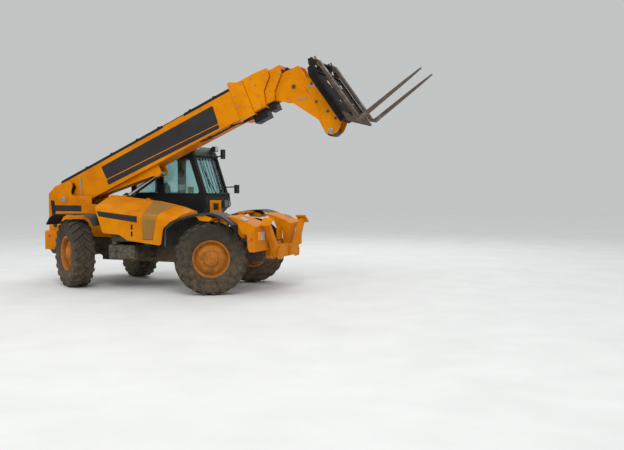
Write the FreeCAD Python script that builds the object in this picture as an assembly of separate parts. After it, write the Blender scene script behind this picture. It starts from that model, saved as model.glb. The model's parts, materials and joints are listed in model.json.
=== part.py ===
"""Telescopic handler with pallet forks, standing on its wheels with the boom raised.

Machine axes in millimetres: x runs forward from the rear axle, y to the left, z up from the ground.
Every shape is moved along x at the end, so that the origin lies under the middle of the machine.
"""
import FreeCAD, Part
import math
import os

V = FreeCAD.Vector
X_AXIS, Y_AXIS, Z_AXIS = V(1, 0, 0), V(0, 1, 0), V(0, 0, 1)
# The most that one chord of a rounded corner turns
CHORD_TURN = math.radians(60)

# Wheels and axles
WHEELBASE = 2750
TRACK = 1900
TYRE_R = 635
TYRE_W = 390
RIM_R = 305
RIM_W = 330
RIM_FLANGE_T = 15
RING_SIDES = 20
CARCASS_R = 606
BARS_A_SIDE = 10
BAR_SPREAD = 95
BAR_T = 62
BAR_LAP = 6
HUB_DEPTH = 138
HUB_LENGTH = 150
HUB_OUT_R = 130
KINGPIN_IN = 130
KINGPIN_R = 22
HUB_R = 40
STEER_FRONT = 30
STEER_REAR = -33
AXLE_BEAM_R = 72

# Front mudguard: angle about the hub from straight ahead, and gap over the tread
GUARD_LINE = [(44, 222), (62.5, 204), (78, 180), (101.5, 149), (127.5, 206), (144, 260), (165, 132)]
GUARD_T = 14
GUARD_LIP = 30
GUARD_IN = 750
GUARD_OUT = 1150

# Running clearances
PIN_GAP = 0.3
SIDE_GAP = 5
PANEL_GAP = 8

# Chassis, whose front end keeps its place ahead of the front wheels
RAIL_OUT = 345
RAIL_T = 20
RAIL_TOP = 900
RAIL_LOW = 470
FRONT_X = WHEELBASE + TYRE_R + 175
REAR_X = -1000
SADDLE_TOP = TYRE_R + 135

# Boom and tower
BOOM_Y = -80
BOOM_ANGLE = 23.8
BOOM_LOW = -3
BOOM_HIGH = 66
BLOCK_HALF_W = 110
STROKE = 2300
PIVOT_X = -761
PIVOT_Z = 1619
PIVOT_R = 45
OUTER_HALF_W = 190
OUTER_LOW = -220
OUTER_HIGH = 330
TAIL_S = -330
COLLAR_END = 4375
CLAMP_START = 2550
CLAMP_END = 3030
TOWER_T = 25
TOWER_IN = 265

# Cab
CAB_RIGHT = 200
CAB_LEFT = 1130
CAB_WALL = 50
CAB_FLOOR = 880
GLASS_T = 8
DOOR_HINGE_X = 992
DOOR_HINGE_Y = 1135

# Engine cover
COVER_T = 12
COVER_INNER_Y = -410
COVER_CREST_Y = -620
COVER_SIDE_Y = -1120
COVER_REAR_X = 530
COVER_FRONT_X = WHEELBASE - 500
COVER_HINGE_X = 650
COVER_HINGE_Y = -420
COVER_HINGE_Z = 1696
COVER_FALL = math.degrees(math.atan2(105, 970))
COVER_PIN_R = 8
HINGE_W = 120

# Carriage and forks, in axes turned with the fork blades about the carriage pivot
CARRIAGE_S = 5530
CARRIAGE_T = -1130
FORK_ANGLE = 36.0
TILT_CROWD = -3
TILT_DUMP = 100
CARRIAGE_PIN_R = 35
FORK_HALF_GAP = 383
FORK_W = 120
FORK_T = 50
FORK_HEEL = 590
FORK_TIP = 1860
FORK_LOW = -236
SHAFT_U = 520
SHAFT_V = 1020
SHAFT_R = 28

# Tow hitch
TOW_PIN_R = 17
TOW_PIN_X = -1235
TOW_LOW = 690
TOW_PLATE_T = 22
TOW_JAW = 68
TOW_LENGTH = 2 * TOW_PLATE_T + TOW_JAW
TOW_MID = TOW_LOW + TOW_LENGTH / 2

# Rams
EYE_SHARE = 1.6
LIFT_BASE_X = -680
LIFT_BASE_Z = 940
LIFT_EYE_S = 2070
LIFT_EYE_T = -362
LIFT_PIN_R = 30
LIFT_BARREL_R = 82
LIFT_ROD_R = 45
TILT_BASE_S = 5208
TILT_BASE_T = -136
TILT_EYE_V = 300
TILT_PIN_R = 22
TILT_BARREL_R = 50
TILT_ROD_R = 28

# Stabilisers
STAB_X = FRONT_X + 245
STAB_PIVOT_Y = 400
STAB_PIVOT_Z = 720
STAB_LENGTH = 640
STAB_STOWED = 55
STAB_DOWN = -72
STAB_PIN_R = 25
FOOT_HALF = 95

# Front wings, placed from the front tyre's foremost point
WING_IN = 450
WING_OUT = 1010
TREAD_FRONT = WHEELBASE + TYRE_R
WING_FRONT = TREAD_FRONT + 315
SHEET_T = 14


def box(x0, x1, y0, y1, z0, z1):
    """A block between two corners."""
    return Part.makeBox(x1 - x0, y1 - y0, z1 - z0, V(x0, y0, z0))


def rod(start, end, radius):
    """A round bar from one point to another."""
    line = end - start
    return Part.makeCylinder(radius, line.Length, start, line)


def bar(start, end, radius, sides=6):
    """A bar of many flat sides from one point to another."""
    line = end - start
    across = line.cross(Z_AXIS if abs(line.z) < line.Length * 0.9 else X_AXIS).normalize() * radius
    ring = []
    for k in range(sides):
        spoke = FreeCAD.Rotation(line, 360 * k / sides).multVec(across)
        ring.append(start + spoke)
    return Part.Face(Part.makePolygon(ring + ring[:1])).extrude(line)


def bar_y(x, z, y0, y1, radius):
    """A round bar along y."""
    return rod(V(x, y0, z), V(x, y1, z), radius)


def fuse(shapes):
    """One solid from several that meet."""
    body = shapes[0].multiFuse(shapes[1:]) if len(shapes) > 1 else shapes[0]
    return body.removeSplitter()


def corners(points, set_chords=0):
    """The corners of an outline, where each (a, b, radius) becomes a few chords of its round, or a set number."""
    run = []
    for i, here in enumerate(points):
        before, after = points[i - 1], points[(i + 1) % len(points)]
        corner = V(here[0], here[1], 0)
        back, ahead = V(before[0], before[1], 0) - corner, V(after[0], after[1], 0) - corner
        half = back.getAngle(ahead) / 2
        turn = math.pi - 2 * half
        chords = set_chords or round(turn / CHORD_TURN)
        if len(here) < 3 or here[2] <= 0 or chords < 1:
            run.append(corner)
            continue
        cut = min(here[2] / math.tan(half), back.Length * 0.49, ahead.Length * 0.49)
        back.normalize()
        ahead.normalize()
        middle = corner + (back + ahead).normalize() * (cut / math.cos(half))
        spoke = corner + back * cut - middle
        side = math.copysign(1, back.y * ahead.x - back.x * ahead.y)
        for k in range(chords + 1):
            c, n = math.cos(turn * k / chords), side * math.sin(turn * k / chords)
            run.append(middle + V(spoke.x * c - spoke.y * n, spoke.x * n + spoke.y * c, 0))
    return run


def corner_pairs(points):
    """The same corners as plain pairs."""
    return [(corner.x, corner.y) for corner in corners(points)]


def outline(points):
    """A closed face in the plane z = 0 from corners (a, b) or (a, b, radius)."""
    run = corners(points)
    return Part.Face(Part.makePolygon(run + run[:1]))


def prism_xz(points, y0, y1):
    """An outline in x and z, thick from y0 to y1."""
    face = outline(points)
    face.rotate(V(0, 0, 0), X_AXIS, 90)
    face.translate(V(0, y0, 0))
    return face.extrude(V(0, y1 - y0, 0))


def prism_yz(points, x0, x1):
    """An outline in y and z, thick from x0 to x1."""
    face = outline(points)
    face.rotate(V(0, 0, 0), V(1, 1, 1), 120)
    face.translate(V(x0, 0, 0))
    return face.extrude(V(x1 - x0, 0, 0))


def prism_xy(points, z0, z1):
    """An outline in x and y, thick from z0 to z1."""
    face = outline(points)
    face.translate(V(0, 0, z0))
    return face.extrude(V(0, 0, z1 - z0))


def grown(points, by):
    """An outline moved outwards by a margin, for a hollow or a gap."""
    return outline(points).makeOffset2D(by, join=2)


def prism_face_xz(face, y0, y1):
    """A flat face in x and z, thick from y0 to y1."""
    turned_face = face.copy()
    turned_face.rotate(V(0, 0, 0), X_AXIS, 90)
    turned_face.translate(V(0, y0, 0))
    return turned_face.extrude(V(0, y1 - y0, 0))


def mirrored(shape):
    """The same piece on the machine's other side."""
    return shape.mirror(V(0, 0, 0), Y_AXIS)


def around(points, count):
    """A ring about the y axis from a closed run of (radius, y) corners, in flat facets."""
    def at(point, turn):
        angle = 2 * math.pi * turn / count
        return V(point[0] * math.sin(angle), point[1], point[0] * math.cos(angle))

    faces = []
    for turn in range(count):
        for i, here in enumerate(points):
            last = points[i - 1]
            corners = [at(last, turn), at(here, turn), at(here, turn + 1), at(last, turn + 1)]
            kept = [c for k, c in enumerate(corners) if (c - corners[k - 1]).Length > 1e-6]
            if len(kept) > 2:
                faces.append(Part.Face(Part.makePolygon(kept + kept[:1])))
    solid = Part.Solid(Part.makeShell(faces))
    if solid.Volume < 0:
        solid.reverse()
    return solid


def stacked(rings):
    """A solid through flat rings of the same number of corners, one after another."""
    faces = [Part.Face(Part.makePolygon(ring + ring[:1])) for ring in (rings[0], rings[-1])]
    for ring, following in zip(rings, rings[1:]):
        for i, here in enumerate(ring):
            last, last_up, up = ring[i - 1], following[i - 1], following[i]
            faces.append(Part.Face(Part.makePolygon([last, here, up, last])))
            faces.append(Part.Face(Part.makePolygon([last, up, last_up, last])))
    solid = Part.Solid(Part.makeShell(faces))
    if solid.Volume < 0:
        solid.reverse()
    return solid


def on_boom(shape):
    """Move a piece from the boom's own axes, s along x and t along z, to the machine."""
    placed = shape.copy()
    placed.rotate(V(0, 0, 0), Y_AXIS, -BOOM_ANGLE)
    placed.translate(V(PIVOT_X, 0, PIVOT_Z))
    return placed


def boom_point(s, t, y=BOOM_Y):
    """A point of the boom's own axes in machine axes."""
    angle = math.radians(BOOM_ANGLE)
    x = PIVOT_X + s * math.cos(angle) - t * math.sin(angle)
    z = PIVOT_Z + s * math.sin(angle) + t * math.cos(angle)
    return V(x, y, z)


CARRIAGE_PIVOT = boom_point(CARRIAGE_S, CARRIAGE_T)


def on_carriage(shape):
    """Move a piece from the carriage's axes, u along the blades, to the machine."""
    placed = shape.copy()
    placed.rotate(V(0, 0, 0), Y_AXIS, -FORK_ANGLE)
    placed.translate(V(CARRIAGE_PIVOT.x, 0, CARRIAGE_PIVOT.z))
    return placed


def carriage_point(u, v, y=BOOM_Y):
    """A point of the carriage's axes in machine axes."""
    angle = math.radians(FORK_ANGLE)
    x = CARRIAGE_PIVOT.x + u * math.cos(angle) - v * math.sin(angle)
    z = CARRIAGE_PIVOT.z + u * math.sin(angle) + v * math.cos(angle)
    return V(x, y, z)


parts = {}

# Wheel positions: name, axle x, side, steering angle
WHEELS = [
    ("front_right", WHEELBASE, -1, STEER_FRONT),
    ("front_left", WHEELBASE, 1, STEER_FRONT),
    ("rear_right", 0, -1, STEER_REAR),
    ("rear_left", 0, 1, STEER_REAR),
]
KINGPIN_Y = TRACK / 2 - KINGPIN_IN
KNUCKLE_HALF_H = 100
KNUCKLE_R = 62
YOKE_T = 55
STUB_R = 68
EAR_T = 30


def tread_bar():
    """One slanting bar of the tread at the top of a tyre, from its middle to its left shoulder."""
    w = TYRE_W / 2
    top = math.sqrt(TYRE_R ** 2 - BAR_SPREAD ** 2)
    foot = [(-BAR_SPREAD, -BAR_LAP), (-BAR_SPREAD + BAR_T, -BAR_LAP), (BAR_SPREAD, w - BAR_LAP), (BAR_SPREAD - BAR_T, w - BAR_LAP)]
    return prism_xy(foot, CARCASS_R * 0.96, top)


def tyre():
    """A tyre about the y axis, centred on the origin: a carcass with slanting bars at both sides."""
    w = TYRE_W / 2
    bead = RIM_W / 2 - RIM_FLANGE_T - PIN_GAP
    half = [
        (RIM_R + PIN_GAP, bead), (RIM_R + 48, w - 22), (RIM_R + 150, w),
        (CARCASS_R - 35, w - 12), (CARCASS_R, w - 55),
    ]
    carcass = around([(r, -y) for r, y in half] + half[::-1], RING_SIDES)
    bars = []
    pitch = 360 / BARS_A_SIDE
    for k in range(BARS_A_SIDE):
        for s in (-1, 1):
            piece = tread_bar() if s > 0 else mirrored(tread_bar())
            piece.rotate(V(0, 0, 0), Y_AXIS, pitch * (k + (0.5 if s > 0 else 0)))
            bars.append(piece)
    return fuse([carcass] + bars)


def rim(side):
    """A rim with its dish and closed hub towards the outer side of the wheel."""
    h = RIM_W / 2
    lip = RIM_R + 16
    inside = RIM_R - 16
    seat = h - RIM_FLANGE_T
    well = around([(lip, -h), (RIM_R, -seat), (RIM_R, seat), (lip, h), (inside, h), (inside, -h)], RING_SIDES)
    dish = around([(inside, 50), (RIM_R - 100, 92), (0, 92), (0, 70), (RIM_R - 100, 70), (inside, 30)], RING_SIDES)
    hub = bar(V(0, 80, 0), V(0, HUB_LENGTH, 0), HUB_OUT_R, 12)
    wheel = fuse([well, dish, hub]).cut(rod(V(0, 0, 0), V(0, HUB_DEPTH, 0), HUB_R + PIN_GAP))
    return wheel if side > 0 else mirrored(wheel)


def knuckle(side):
    """A steering knuckle about its kingpin, with the stub axle that carries the wheel."""
    post = bar(V(0, 0, -KNUCKLE_HALF_H), V(0, 0, KNUCKLE_HALF_H), KNUCKLE_R, 8)
    stub = bar(V(0, 40, 0), V(0, KINGPIN_IN + 62, 0), STUB_R, 8)
    nose = bar(V(0, KINGPIN_IN + 60, 0), V(0, KINGPIN_IN + HUB_DEPTH - SIDE_GAP, 0), HUB_R, 12)
    arm = prism_xy([(-40, -30), (40, -30), (30, -175), (-30, -175)], -18, 18)
    arm.rotate(V(0, 0, 0), Z_AXIS, 115)
    bore = rod(V(0, 0, -KNUCKLE_HALF_H - 1), V(0, 0, KNUCKLE_HALF_H + 1), KINGPIN_R + PIN_GAP)
    body = fuse([post, stub, nose, arm]).cut(bore)
    return body if side > 0 else mirrored(body)


TYRE = tyre()
for name, axle_x, side, steer in WHEELS:
    kingpin = V(axle_x, side * KINGPIN_Y, TYRE_R)
    centre = V(0, side * KINGPIN_IN, 0)
    pieces = [("tyre_" + name, TYRE.copy() if side > 0 else mirrored(TYRE)), ("rim_" + name, rim(side))]
    for piece_name, piece in pieces:
        piece.translate(centre)
        piece.rotate(V(0, 0, 0), Z_AXIS, steer)
        piece.translate(kingpin)
        parts[piece_name] = piece
    swivel = knuckle(side)
    swivel.rotate(V(0, 0, 0), Z_AXIS, steer)
    swivel.translate(kingpin)
    parts["knuckle_" + name] = swivel


def axle(axle_x):
    """An axle with its differential housing, mounting pads, yokes and kingpins."""
    z = TYRE_R
    yoke_out = KINGPIN_Y - KNUCKLE_R - SIDE_GAP - 1
    housing = around([(0, -150), (120, -150), (165, -60), (165, 60), (120, 150), (0, 150)], 10)
    housing.translate(V(axle_x, 0, z))
    reach = yoke_out - YOKE_T / 2
    pieces = [
        bar(V(axle_x, -reach, z), V(axle_x, reach, z), AXLE_BEAM_R, 8),
        housing,
    ]
    for s in (-1, 1):
        low, high = sorted((s * (RAIL_OUT - 55), s * (RAIL_OUT + 45)))
        pieces.append(box(axle_x - 110, axle_x + 110, low, high, z - 60, SADDLE_TOP))
        yoke = box(-60, 60, 0, YOKE_T, -140, 140)
        yoke.translate(V(axle_x, yoke_out - YOKE_T if s > 0 else -yoke_out, z))
        pieces.append(yoke)
        for d in (-1, 1):
            z0, z1 = sorted((z + d * (KNUCKLE_HALF_H + SIDE_GAP), z + d * (KNUCKLE_HALF_H + SIDE_GAP + EAR_T)))
            ear = prism_xy([(-55, -120), (55, -120), (35, 60), (-35, 60)], z0, z1)
            ear = ear if s > 0 else mirrored(ear)
            ear.translate(V(axle_x, s * KINGPIN_Y, 0))
            pieces.append(ear)
        pin_half = KNUCKLE_HALF_H + SIDE_GAP + EAR_T
        pieces.append(rod(V(axle_x, s * KINGPIN_Y, z - pin_half), V(axle_x, s * KINGPIN_Y, z + pin_half), KINGPIN_R))
    return fuse(pieces)


parts["front_axle"] = axle(WHEELBASE)
parts["rear_axle"] = axle(0)


HINGE_XS = (0, 520)


def on_hinge(shape, x):
    """A piece moved from the cover's first hinge, drawn along x, to a place on the sloping hinge line."""
    placed = shape.copy()
    placed.translate(V(x, 0, 0))
    placed.rotate(V(0, 0, 0), Y_AXIS, COVER_FALL)
    placed.translate(V(COVER_HINGE_X, COVER_HINGE_Y, COVER_HINGE_Z))
    return placed


def cover_hinge(x):
    """The fixed half of a bonnet hinge: a plate on the bulkhead, two ears and the pin."""
    plate_in = COVER_INNER_Y + 12 - COVER_HINGE_Y
    plate = box(0, HINGE_W, plate_in, plate_in + 8, -160, 14)
    ears = [box(x0, x0 + 20, -14, plate_in + 1, -14, 14) for x0 in (0, HINGE_W - 20)]
    pin = rod(V(0, 0, 0), V(HINGE_W, 0, 0), COVER_PIN_R)
    return on_hinge(fuse([plate, pin] + ears), x)


def chassis_frame():
    """Two side rails with cross members, the engine cradle and the lift ram's foot."""
    side = [
        (REAR_X, 600, 40), (-350, RAIL_LOW, 80), (WHEELBASE + 500, RAIL_LOW, 80), (FRONT_X, 600, 40),
        (FRONT_X, RAIL_TOP, 30), (COVER_FRONT_X, RAIL_TOP, 60), (COVER_FRONT_X - 200, 820, 60), (500, 820, 60), (300, RAIL_TOP, 60),
        (REAR_X, RAIL_TOP, 30),
    ]
    pieces = []
    for low in (-RAIL_OUT, RAIL_OUT - RAIL_T):
        rail = prism_xz(side, low, low + RAIL_T)
        for axle_x in (0, WHEELBASE):
            rail = rail.cut(box(axle_x - 112, axle_x + 112, low - 1, low + RAIL_T + 1, RAIL_LOW - 20, SADDLE_TOP))
        pieces.append(rail)
    inner = RAIL_OUT - RAIL_T / 2
    # Cross members: x from, x to, z from, z to
    cross = [
        (REAR_X, REAR_X + 25, 600, RAIL_TOP), (FRONT_X - 25, FRONT_X, 600, RAIL_TOP),
        (300, 1500, RAIL_LOW, RAIL_LOW + 15), (1980, 2060, 560, 700), (LIFT_BASE_X - 40, LIFT_BASE_X + 40, 560, 640),
        (FRONT_X - 460, FRONT_X - 380, RAIL_LOW + 60, 620), (LIFT_BASE_X - 130, LIFT_BASE_X + 130, 755, 780),
    ]
    for x0, x1, z0, z1 in cross:
        pieces.append(box(x0, x1, -inner, inner, z0, z1))
    lug = [(-130, 775 - LIFT_BASE_Z), (130, 775 - LIFT_BASE_Z), (75, 60, 60), (-75, 60, 60)]
    for y in (BOOM_Y - LIFT_BARREL_R - 40, BOOM_Y + LIFT_BARREL_R + 15):
        cheek = prism_xz(lug, y, y + 25)
        cheek.translate(V(LIFT_BASE_X, 0, LIFT_BASE_Z))
        pieces.append(cheek)
    lift_half = LIFT_BARREL_R + 40
    pieces.append(bar_y(LIFT_BASE_X, LIFT_BASE_Z, BOOM_Y - lift_half, BOOM_Y + lift_half, LIFT_PIN_R))
    for x in (860, 1560):
        pieces.append(box(x, x + 80, -1060, -RAIL_OUT + 5, 830, 880))
        pieces.append(box(x, x + 80, -RAIL_OUT, -RAIL_OUT + RAIL_T, 780, 880))
    wall = [(560, 880), (1960, 880), (1960, 1440), (1500, 1540), (560, 1640)]
    pieces.append(prism_xz(wall, COVER_INNER_Y + 12, COVER_INNER_Y + 20))
    pieces += [cover_hinge(x) for x in HINGE_XS]
    return fuse(pieces)


parts["chassis_frame"] = chassis_frame()


def lamp_box(s):
    """A rear lamp's box on the side of a pivot plate."""
    y0, y1 = sorted((RAIL_OUT if s > 0 else BOOM_Y - TOWER_IN - TOWER_T + 5, s * 530))
    return prism_yz([(y0, 640, 20), (y1, 640, 20), (y1, 1005, 40), (y0, 1005, 40)], -1110, -820)


def boom_tower():
    """Two pivot plates joined by a floor and a low rear wall, with the boom's pivot pin, a side sheet and lamp boxes."""
    side = [
        (-1140, RAIL_TOP, 20), (-1140, 1725, 40), (-980, 1870, 60), (-640, 1990, 60), (-560, 1900, 30),
        (-630, 1690, 60), (-120, 1690, 30), (-105, RAIL_TOP, 20),
    ]
    face = TOWER_IN + TOWER_T
    right = prism_xz(side, BOOM_Y - face, BOOM_Y - TOWER_IN)
    slot = [(-1100, 1600, 30), (-1000, 1600, 30), (-935, 1060, 30), (-1035, 1060, 30)]
    right = right.cut(prism_xz(slot, BOOM_Y - face - 1, BOOM_Y - TOWER_IN + 1))
    left = prism_xz(side, BOOM_Y + TOWER_IN, BOOM_Y + face)
    sheet = [(-130, RAIL_TOP), (-130, 1530), (170, 1510, 30), (430, 1430, 30), (470, RAIL_TOP + 25, 20), (400, RAIL_TOP)]
    floor = box(-1140, -150, BOOM_Y - face, RAIL_OUT, RAIL_TOP, RAIL_TOP + 25)
    ram_way = box(-860, -149, BOOM_Y - 150, BOOM_Y + 150, RAIL_TOP - 1, RAIL_TOP + 26)
    rear = box(-1140, -1115, BOOM_Y - TOWER_IN, BOOM_Y + TOWER_IN, RAIL_TOP, 1290)
    pin_half = TOWER_IN + TOWER_T + 12
    pin = bar_y(PIVOT_X, PIVOT_Z, BOOM_Y - pin_half, BOOM_Y + pin_half, PIVOT_R)
    pivot = V(PIVOT_X, BOOM_Y, PIVOT_Z)
    caps = [bar(pivot + Y_AXIS * s * TOWER_IN, pivot + Y_AXIS * s * (face + 8), 95, 12) for s in (-1, 1)]
    pieces = [right, left, prism_xz(sheet, BOOM_Y - face, BOOM_Y - TOWER_IN), floor.cut(ram_way), rear, pin]
    return fuse(pieces + caps + [lamp_box(-1), lamp_box(1)])


parts["boom_tower"] = boom_tower()


def rear_weight():
    """A cast block behind the frame."""
    return prism_xz([(-1170, 640, 30), (-1090, 540, 30), (REAR_X, 540), (REAR_X, 890), (-1170, 890, 20)], -345, 345)


parts["counterweight"] = rear_weight()


def tow_hitch():
    """A clevis on the rear block."""
    jaw = [(-1170, -70), (-1170, 70), (-1280, 60, 50), (-1280, -60, 50)]
    upper = TOW_LOW + TOW_PLATE_T + TOW_JAW
    pieces = [prism_xy(jaw, z, z + TOW_PLATE_T) for z in (TOW_LOW, upper)]
    pieces.append(box(-1190, -1170, -90, 90, TOW_LOW - 30, upper + TOW_PLATE_T + 28))
    return fuse(pieces).cut(rod(V(TOW_PIN_X, 0, 600), V(TOW_PIN_X, 0, 900), TOW_PIN_R))


parts["tow_hitch"] = tow_hitch()

parts["engine_block"] = box(820, 1700, -1020, -480, 880, 1330)


def engine_cover():
    """The moulded bonnet over the engine: a shell lofted through three sections, hinged at its inner edge."""
    # Sections: x, crest height, shoulder height
    sections = [
        (COVER_REAR_X, 1710, 1500), (1500, 1605, 1390), (COVER_FRONT_X - 275, 1515, 1370), (COVER_FRONT_X, 1425, 1345),
    ]

    def skin(inset):
        rings = []
        for x, crest, shoulder in sections:
            side = COVER_SIDE_Y + inset
            points = [
                (COVER_INNER_Y, 700), (side, 700), (side, shoulder - inset, 110 - inset),
                (COVER_CREST_Y, crest - inset, 160), (COVER_INNER_Y, crest - 10 - inset),
            ]
            rings.append([V(x, corner.x, corner.y) for corner in corners(points, 2)])
        return stacked(rings)

    hollow = skin(COVER_T).common(box(COVER_REAR_X + COVER_T, COVER_FRONT_X - COVER_T, -1300, 0, 600, 1800))
    below = [
        (400, 600), (400, 1500), (COVER_REAR_X, 1500), (700, 1031, 30), (1057, 1009, 40), (1228, 912, 40),
        (COVER_FRONT_X - 325, 838, 30), (COVER_FRONT_X - 275, 1140, 60), (COVER_FRONT_X - 132, 1253, 80),
        (COVER_FRONT_X + 50, 1345), (COVER_FRONT_X + 50, 600),
    ]
    cover = skin(0).cut(hollow).cut(prism_xz(below, -1300, -300))
    for x in HINGE_XS:
        cover = cover.cut(on_hinge(box(-5, HINGE_W + 5, -25, 30, -20, 60), x))
        knuckle_bar = fuse([box(22, HINGE_W - 22, -27, 0, -14, 14), rod(V(22, 0, 0), V(HINGE_W - 22, 0, 0), 14)])
        cover = cover.fuse(on_hinge(knuckle_bar, x))
        cover = cover.cut(on_hinge(rod(V(-1, 0, 0), V(HINGE_W + 1, 0, 0), COVER_PIN_R + PIN_GAP), x))
    return cover.removeSplitter()


parts["engine_cover"] = engine_cover()

# Cab: corners (x, z, radius) of its side outline
CAB_SIDE = [
    (770, CAB_FLOOR, 30), (1900, CAB_FLOOR, 60), (1950, 1340, 40), (2075, 1470, 30), (2065, 1700, 30),
    (1790, 2520, 60), (1700, 2640, 60), (520, 2640, 80), (410, 2450, 60), (400, 1400, 50), (750, 1390, 60),
]
DOOR_SIDE = [
    (1000, 930, 40), (1850, 930, 60), (1885, 1350, 40), (1990, 1490, 30), (1975, 1700, 40), (1735, 2460, 60),
    (1000, 2500, 60),
]
DOOR_WINDOW = [(1080, 1500, 60), (1900, 1560, 40), (1885, 1710, 40), (1670, 2390, 60), (1080, 2420, 60)]
QUARTER_WINDOW = [(490, 1740, 50), (920, 1740, 50), (920, 2430, 60), (500, 2430, 60)]
RIGHT_WINDOW = [(490, 1730, 60), (1960, 1730, 50), (1730, 2400, 60), (520, 2430, 60)]
SCREEN = [(CAB_RIGHT + 70, 1730, 50), (CAB_LEFT - 70, 1730, 50), (CAB_LEFT - 70, 2450, 50), (CAB_RIGHT + 70, 2450, 50)]
REAR_WINDOW = [(CAB_RIGHT + 80, 1740, 50), (CAB_LEFT - 80, 1740, 50), (CAB_LEFT - 80, 2350, 50), (CAB_RIGHT + 80, 2350, 50)]
ROOF_WINDOW = [(700, CAB_RIGHT + 110, 60), (1550, CAB_RIGHT + 110, 60), (1550, CAB_LEFT - 110, 60), (700, CAB_LEFT - 110, 60)]


def cab_pieces():
    """The cab's hollow shell and its fixed panes."""
    outside = prism_xz(CAB_SIDE, CAB_RIGHT, CAB_LEFT)
    hollow = prism_face_xz(grown(CAB_SIDE, -CAB_WALL), CAB_RIGHT + CAB_WALL, CAB_LEFT - CAB_WALL)
    door_hole = prism_face_xz(grown(DOOR_SIDE, PANEL_GAP), CAB_LEFT - CAB_WALL - 1, CAB_LEFT + 1)
    shell = outside.cut(hollow).cut(door_hole)
    right_cut = prism_xz(RIGHT_WINDOW, CAB_RIGHT - 1, CAB_RIGHT + CAB_WALL + 1)
    quarter_cut = prism_xz(QUARTER_WINDOW, CAB_LEFT - CAB_WALL - 1, CAB_LEFT + 1)
    screen_cut = prism_yz(SCREEN, 1640, 2200)
    rear_cut = prism_yz(REAR_WINDOW, 300, 560)
    roof_cut = prism_xy(ROOF_WINDOW, 2560, 2700)
    for cutter in (right_cut, quarter_cut, screen_cut, rear_cut, roof_cut):
        shell = shell.cut(cutter)
    outer_skin = prism_face_xz(grown(CAB_SIDE, -20), 0, 1500)
    inner_skin = prism_face_xz(grown(CAB_SIDE, -20 - GLASS_T), 0, 1500)
    ring = outer_skin.cut(inner_skin)
    panes = [
        ring.common(screen_cut),
        ring.common(rear_cut),
        ring.common(roof_cut),
        right_cut.common(box(0, 2300, CAB_RIGHT + 20, CAB_RIGHT + 20 + GLASS_T, 1600, 2700)),
        quarter_cut.common(box(0, 2300, CAB_LEFT - 28, CAB_LEFT - 28 + GLASS_T, 1600, 2700)),
    ]
    return shell, Part.makeCompound(panes)


parts["cab_shell"], parts["cab_glass"] = cab_pieces()

door = prism_xz(DOOR_SIDE, CAB_LEFT - CAB_WALL, CAB_LEFT)
door_window = prism_xz(DOOR_WINDOW, CAB_LEFT - CAB_WALL - 1, CAB_LEFT + 1)
parts["cab_door"] = door.cut(door_window)
parts["door_glass"] = door_window.common(box(0, 2300, CAB_LEFT - 28, CAB_LEFT - 28 + GLASS_T, 1400, 2700))


def windscreen_guard():
    """Upright bars in front of the windscreen between two cross rails."""
    pieces = []
    rake = V(1790 - 2065, 0, 2520 - 1700).normalize()
    off = V(rake.z, 0, -rake.x) * 30
    low = V(2065, 0, 1700) + rake * 20 + off
    high = V(2065, 0, 1700) + rake * 800 + off
    for end in (low, high):
        pieces.append(bar(V(end.x, CAB_RIGHT + 20, end.z), V(end.x, CAB_LEFT - 20, end.z), 12))
        for y in (CAB_RIGHT + 35, CAB_LEFT - 35):
            pieces.append(bar(V(end.x, y, end.z), V(end.x, y, end.z) - off, 10, 4))
    count = 7
    first, last = CAB_RIGHT + 120, CAB_LEFT - 120
    for i in range(count):
        y = first + (last - first) * i / (count - 1)
        pieces.append(bar(V(low.x, y, low.z), V(high.x, y, high.z), 8, 4))
    return fuse(pieces)


parts["windscreen_guard"] = windscreen_guard()


def operator_seat():
    """A seat on its pedestal."""
    mid = (CAB_RIGHT + CAB_LEFT) / 2
    floor = CAB_FLOOR + CAB_WALL
    base = box(960, 1320, mid - 180, mid + 180, floor, floor + 360)
    cushion = prism_xz([(930, 1260, 30), (1430, 1280, 60), (1430, 1390, 60), (930, 1370, 30)], mid - 250, mid + 250)
    back = prism_xz([(850, 1270, 30), (1000, 1290, 30), (910, 1980, 60), (780, 1980, 60)], mid - 240, mid + 240)
    return fuse([base, cushion, back])


parts["operator_seat"] = operator_seat()


def steering_column():
    """The steering wheel on its raked column."""
    mid = (CAB_RIGHT + CAB_LEFT) / 2
    floor = CAB_FLOOR + CAB_WALL
    foot = V(1755, mid, floor + 20)
    top = V(1560, mid, 1650)
    post = bar(foot, top, 35, 8)
    base = box(1700, 1820, mid - 60, mid + 60, floor, floor + 60)
    axis = (top - foot).normalize()
    ring = around([(175, 0), (190, -15), (205, 0), (190, 15)], 18)
    ring.rotate(V(0, 0, 0), X_AXIS, 90)
    ring.rotate(V(0, 0, 0), Y_AXIS, math.degrees(math.atan2(axis.x, axis.z)))
    ring.translate(top)
    spoke = bar(top - axis * 12, top + axis * 12, 45, 8)
    bars = [bar(top, top + V(0, s * 188, 0), 9, 4) for s in (-1, 1)]
    return fuse([post, base, ring, spoke] + bars)


parts["steering_column"] = steering_column()

parts["dash_console"] = fuse([
    prism_xz([(1830, 1480), (1900, 1480), (2010, 1560), (2010, 1660, 30), (1860, 1640, 40)], CAB_RIGHT + 50, CAB_LEFT - 50),
    prism_xz([(900, 940), (1250, 940), (1250, 1400, 40), (1000, 1450, 40), (900, 1400, 30)], CAB_RIGHT + 50, CAB_RIGHT + 150),
])


def guard_line(inset):
    """The corners of the front mudguard's line, moved in by an inset."""
    line = []
    for angle, gap in GUARD_LINE:
        reach = TYRE_R + gap - inset
        turn = math.radians(angle)
        line.append((WHEELBASE + reach * math.cos(turn), TYRE_R + reach * math.sin(turn)))
    return line


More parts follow.
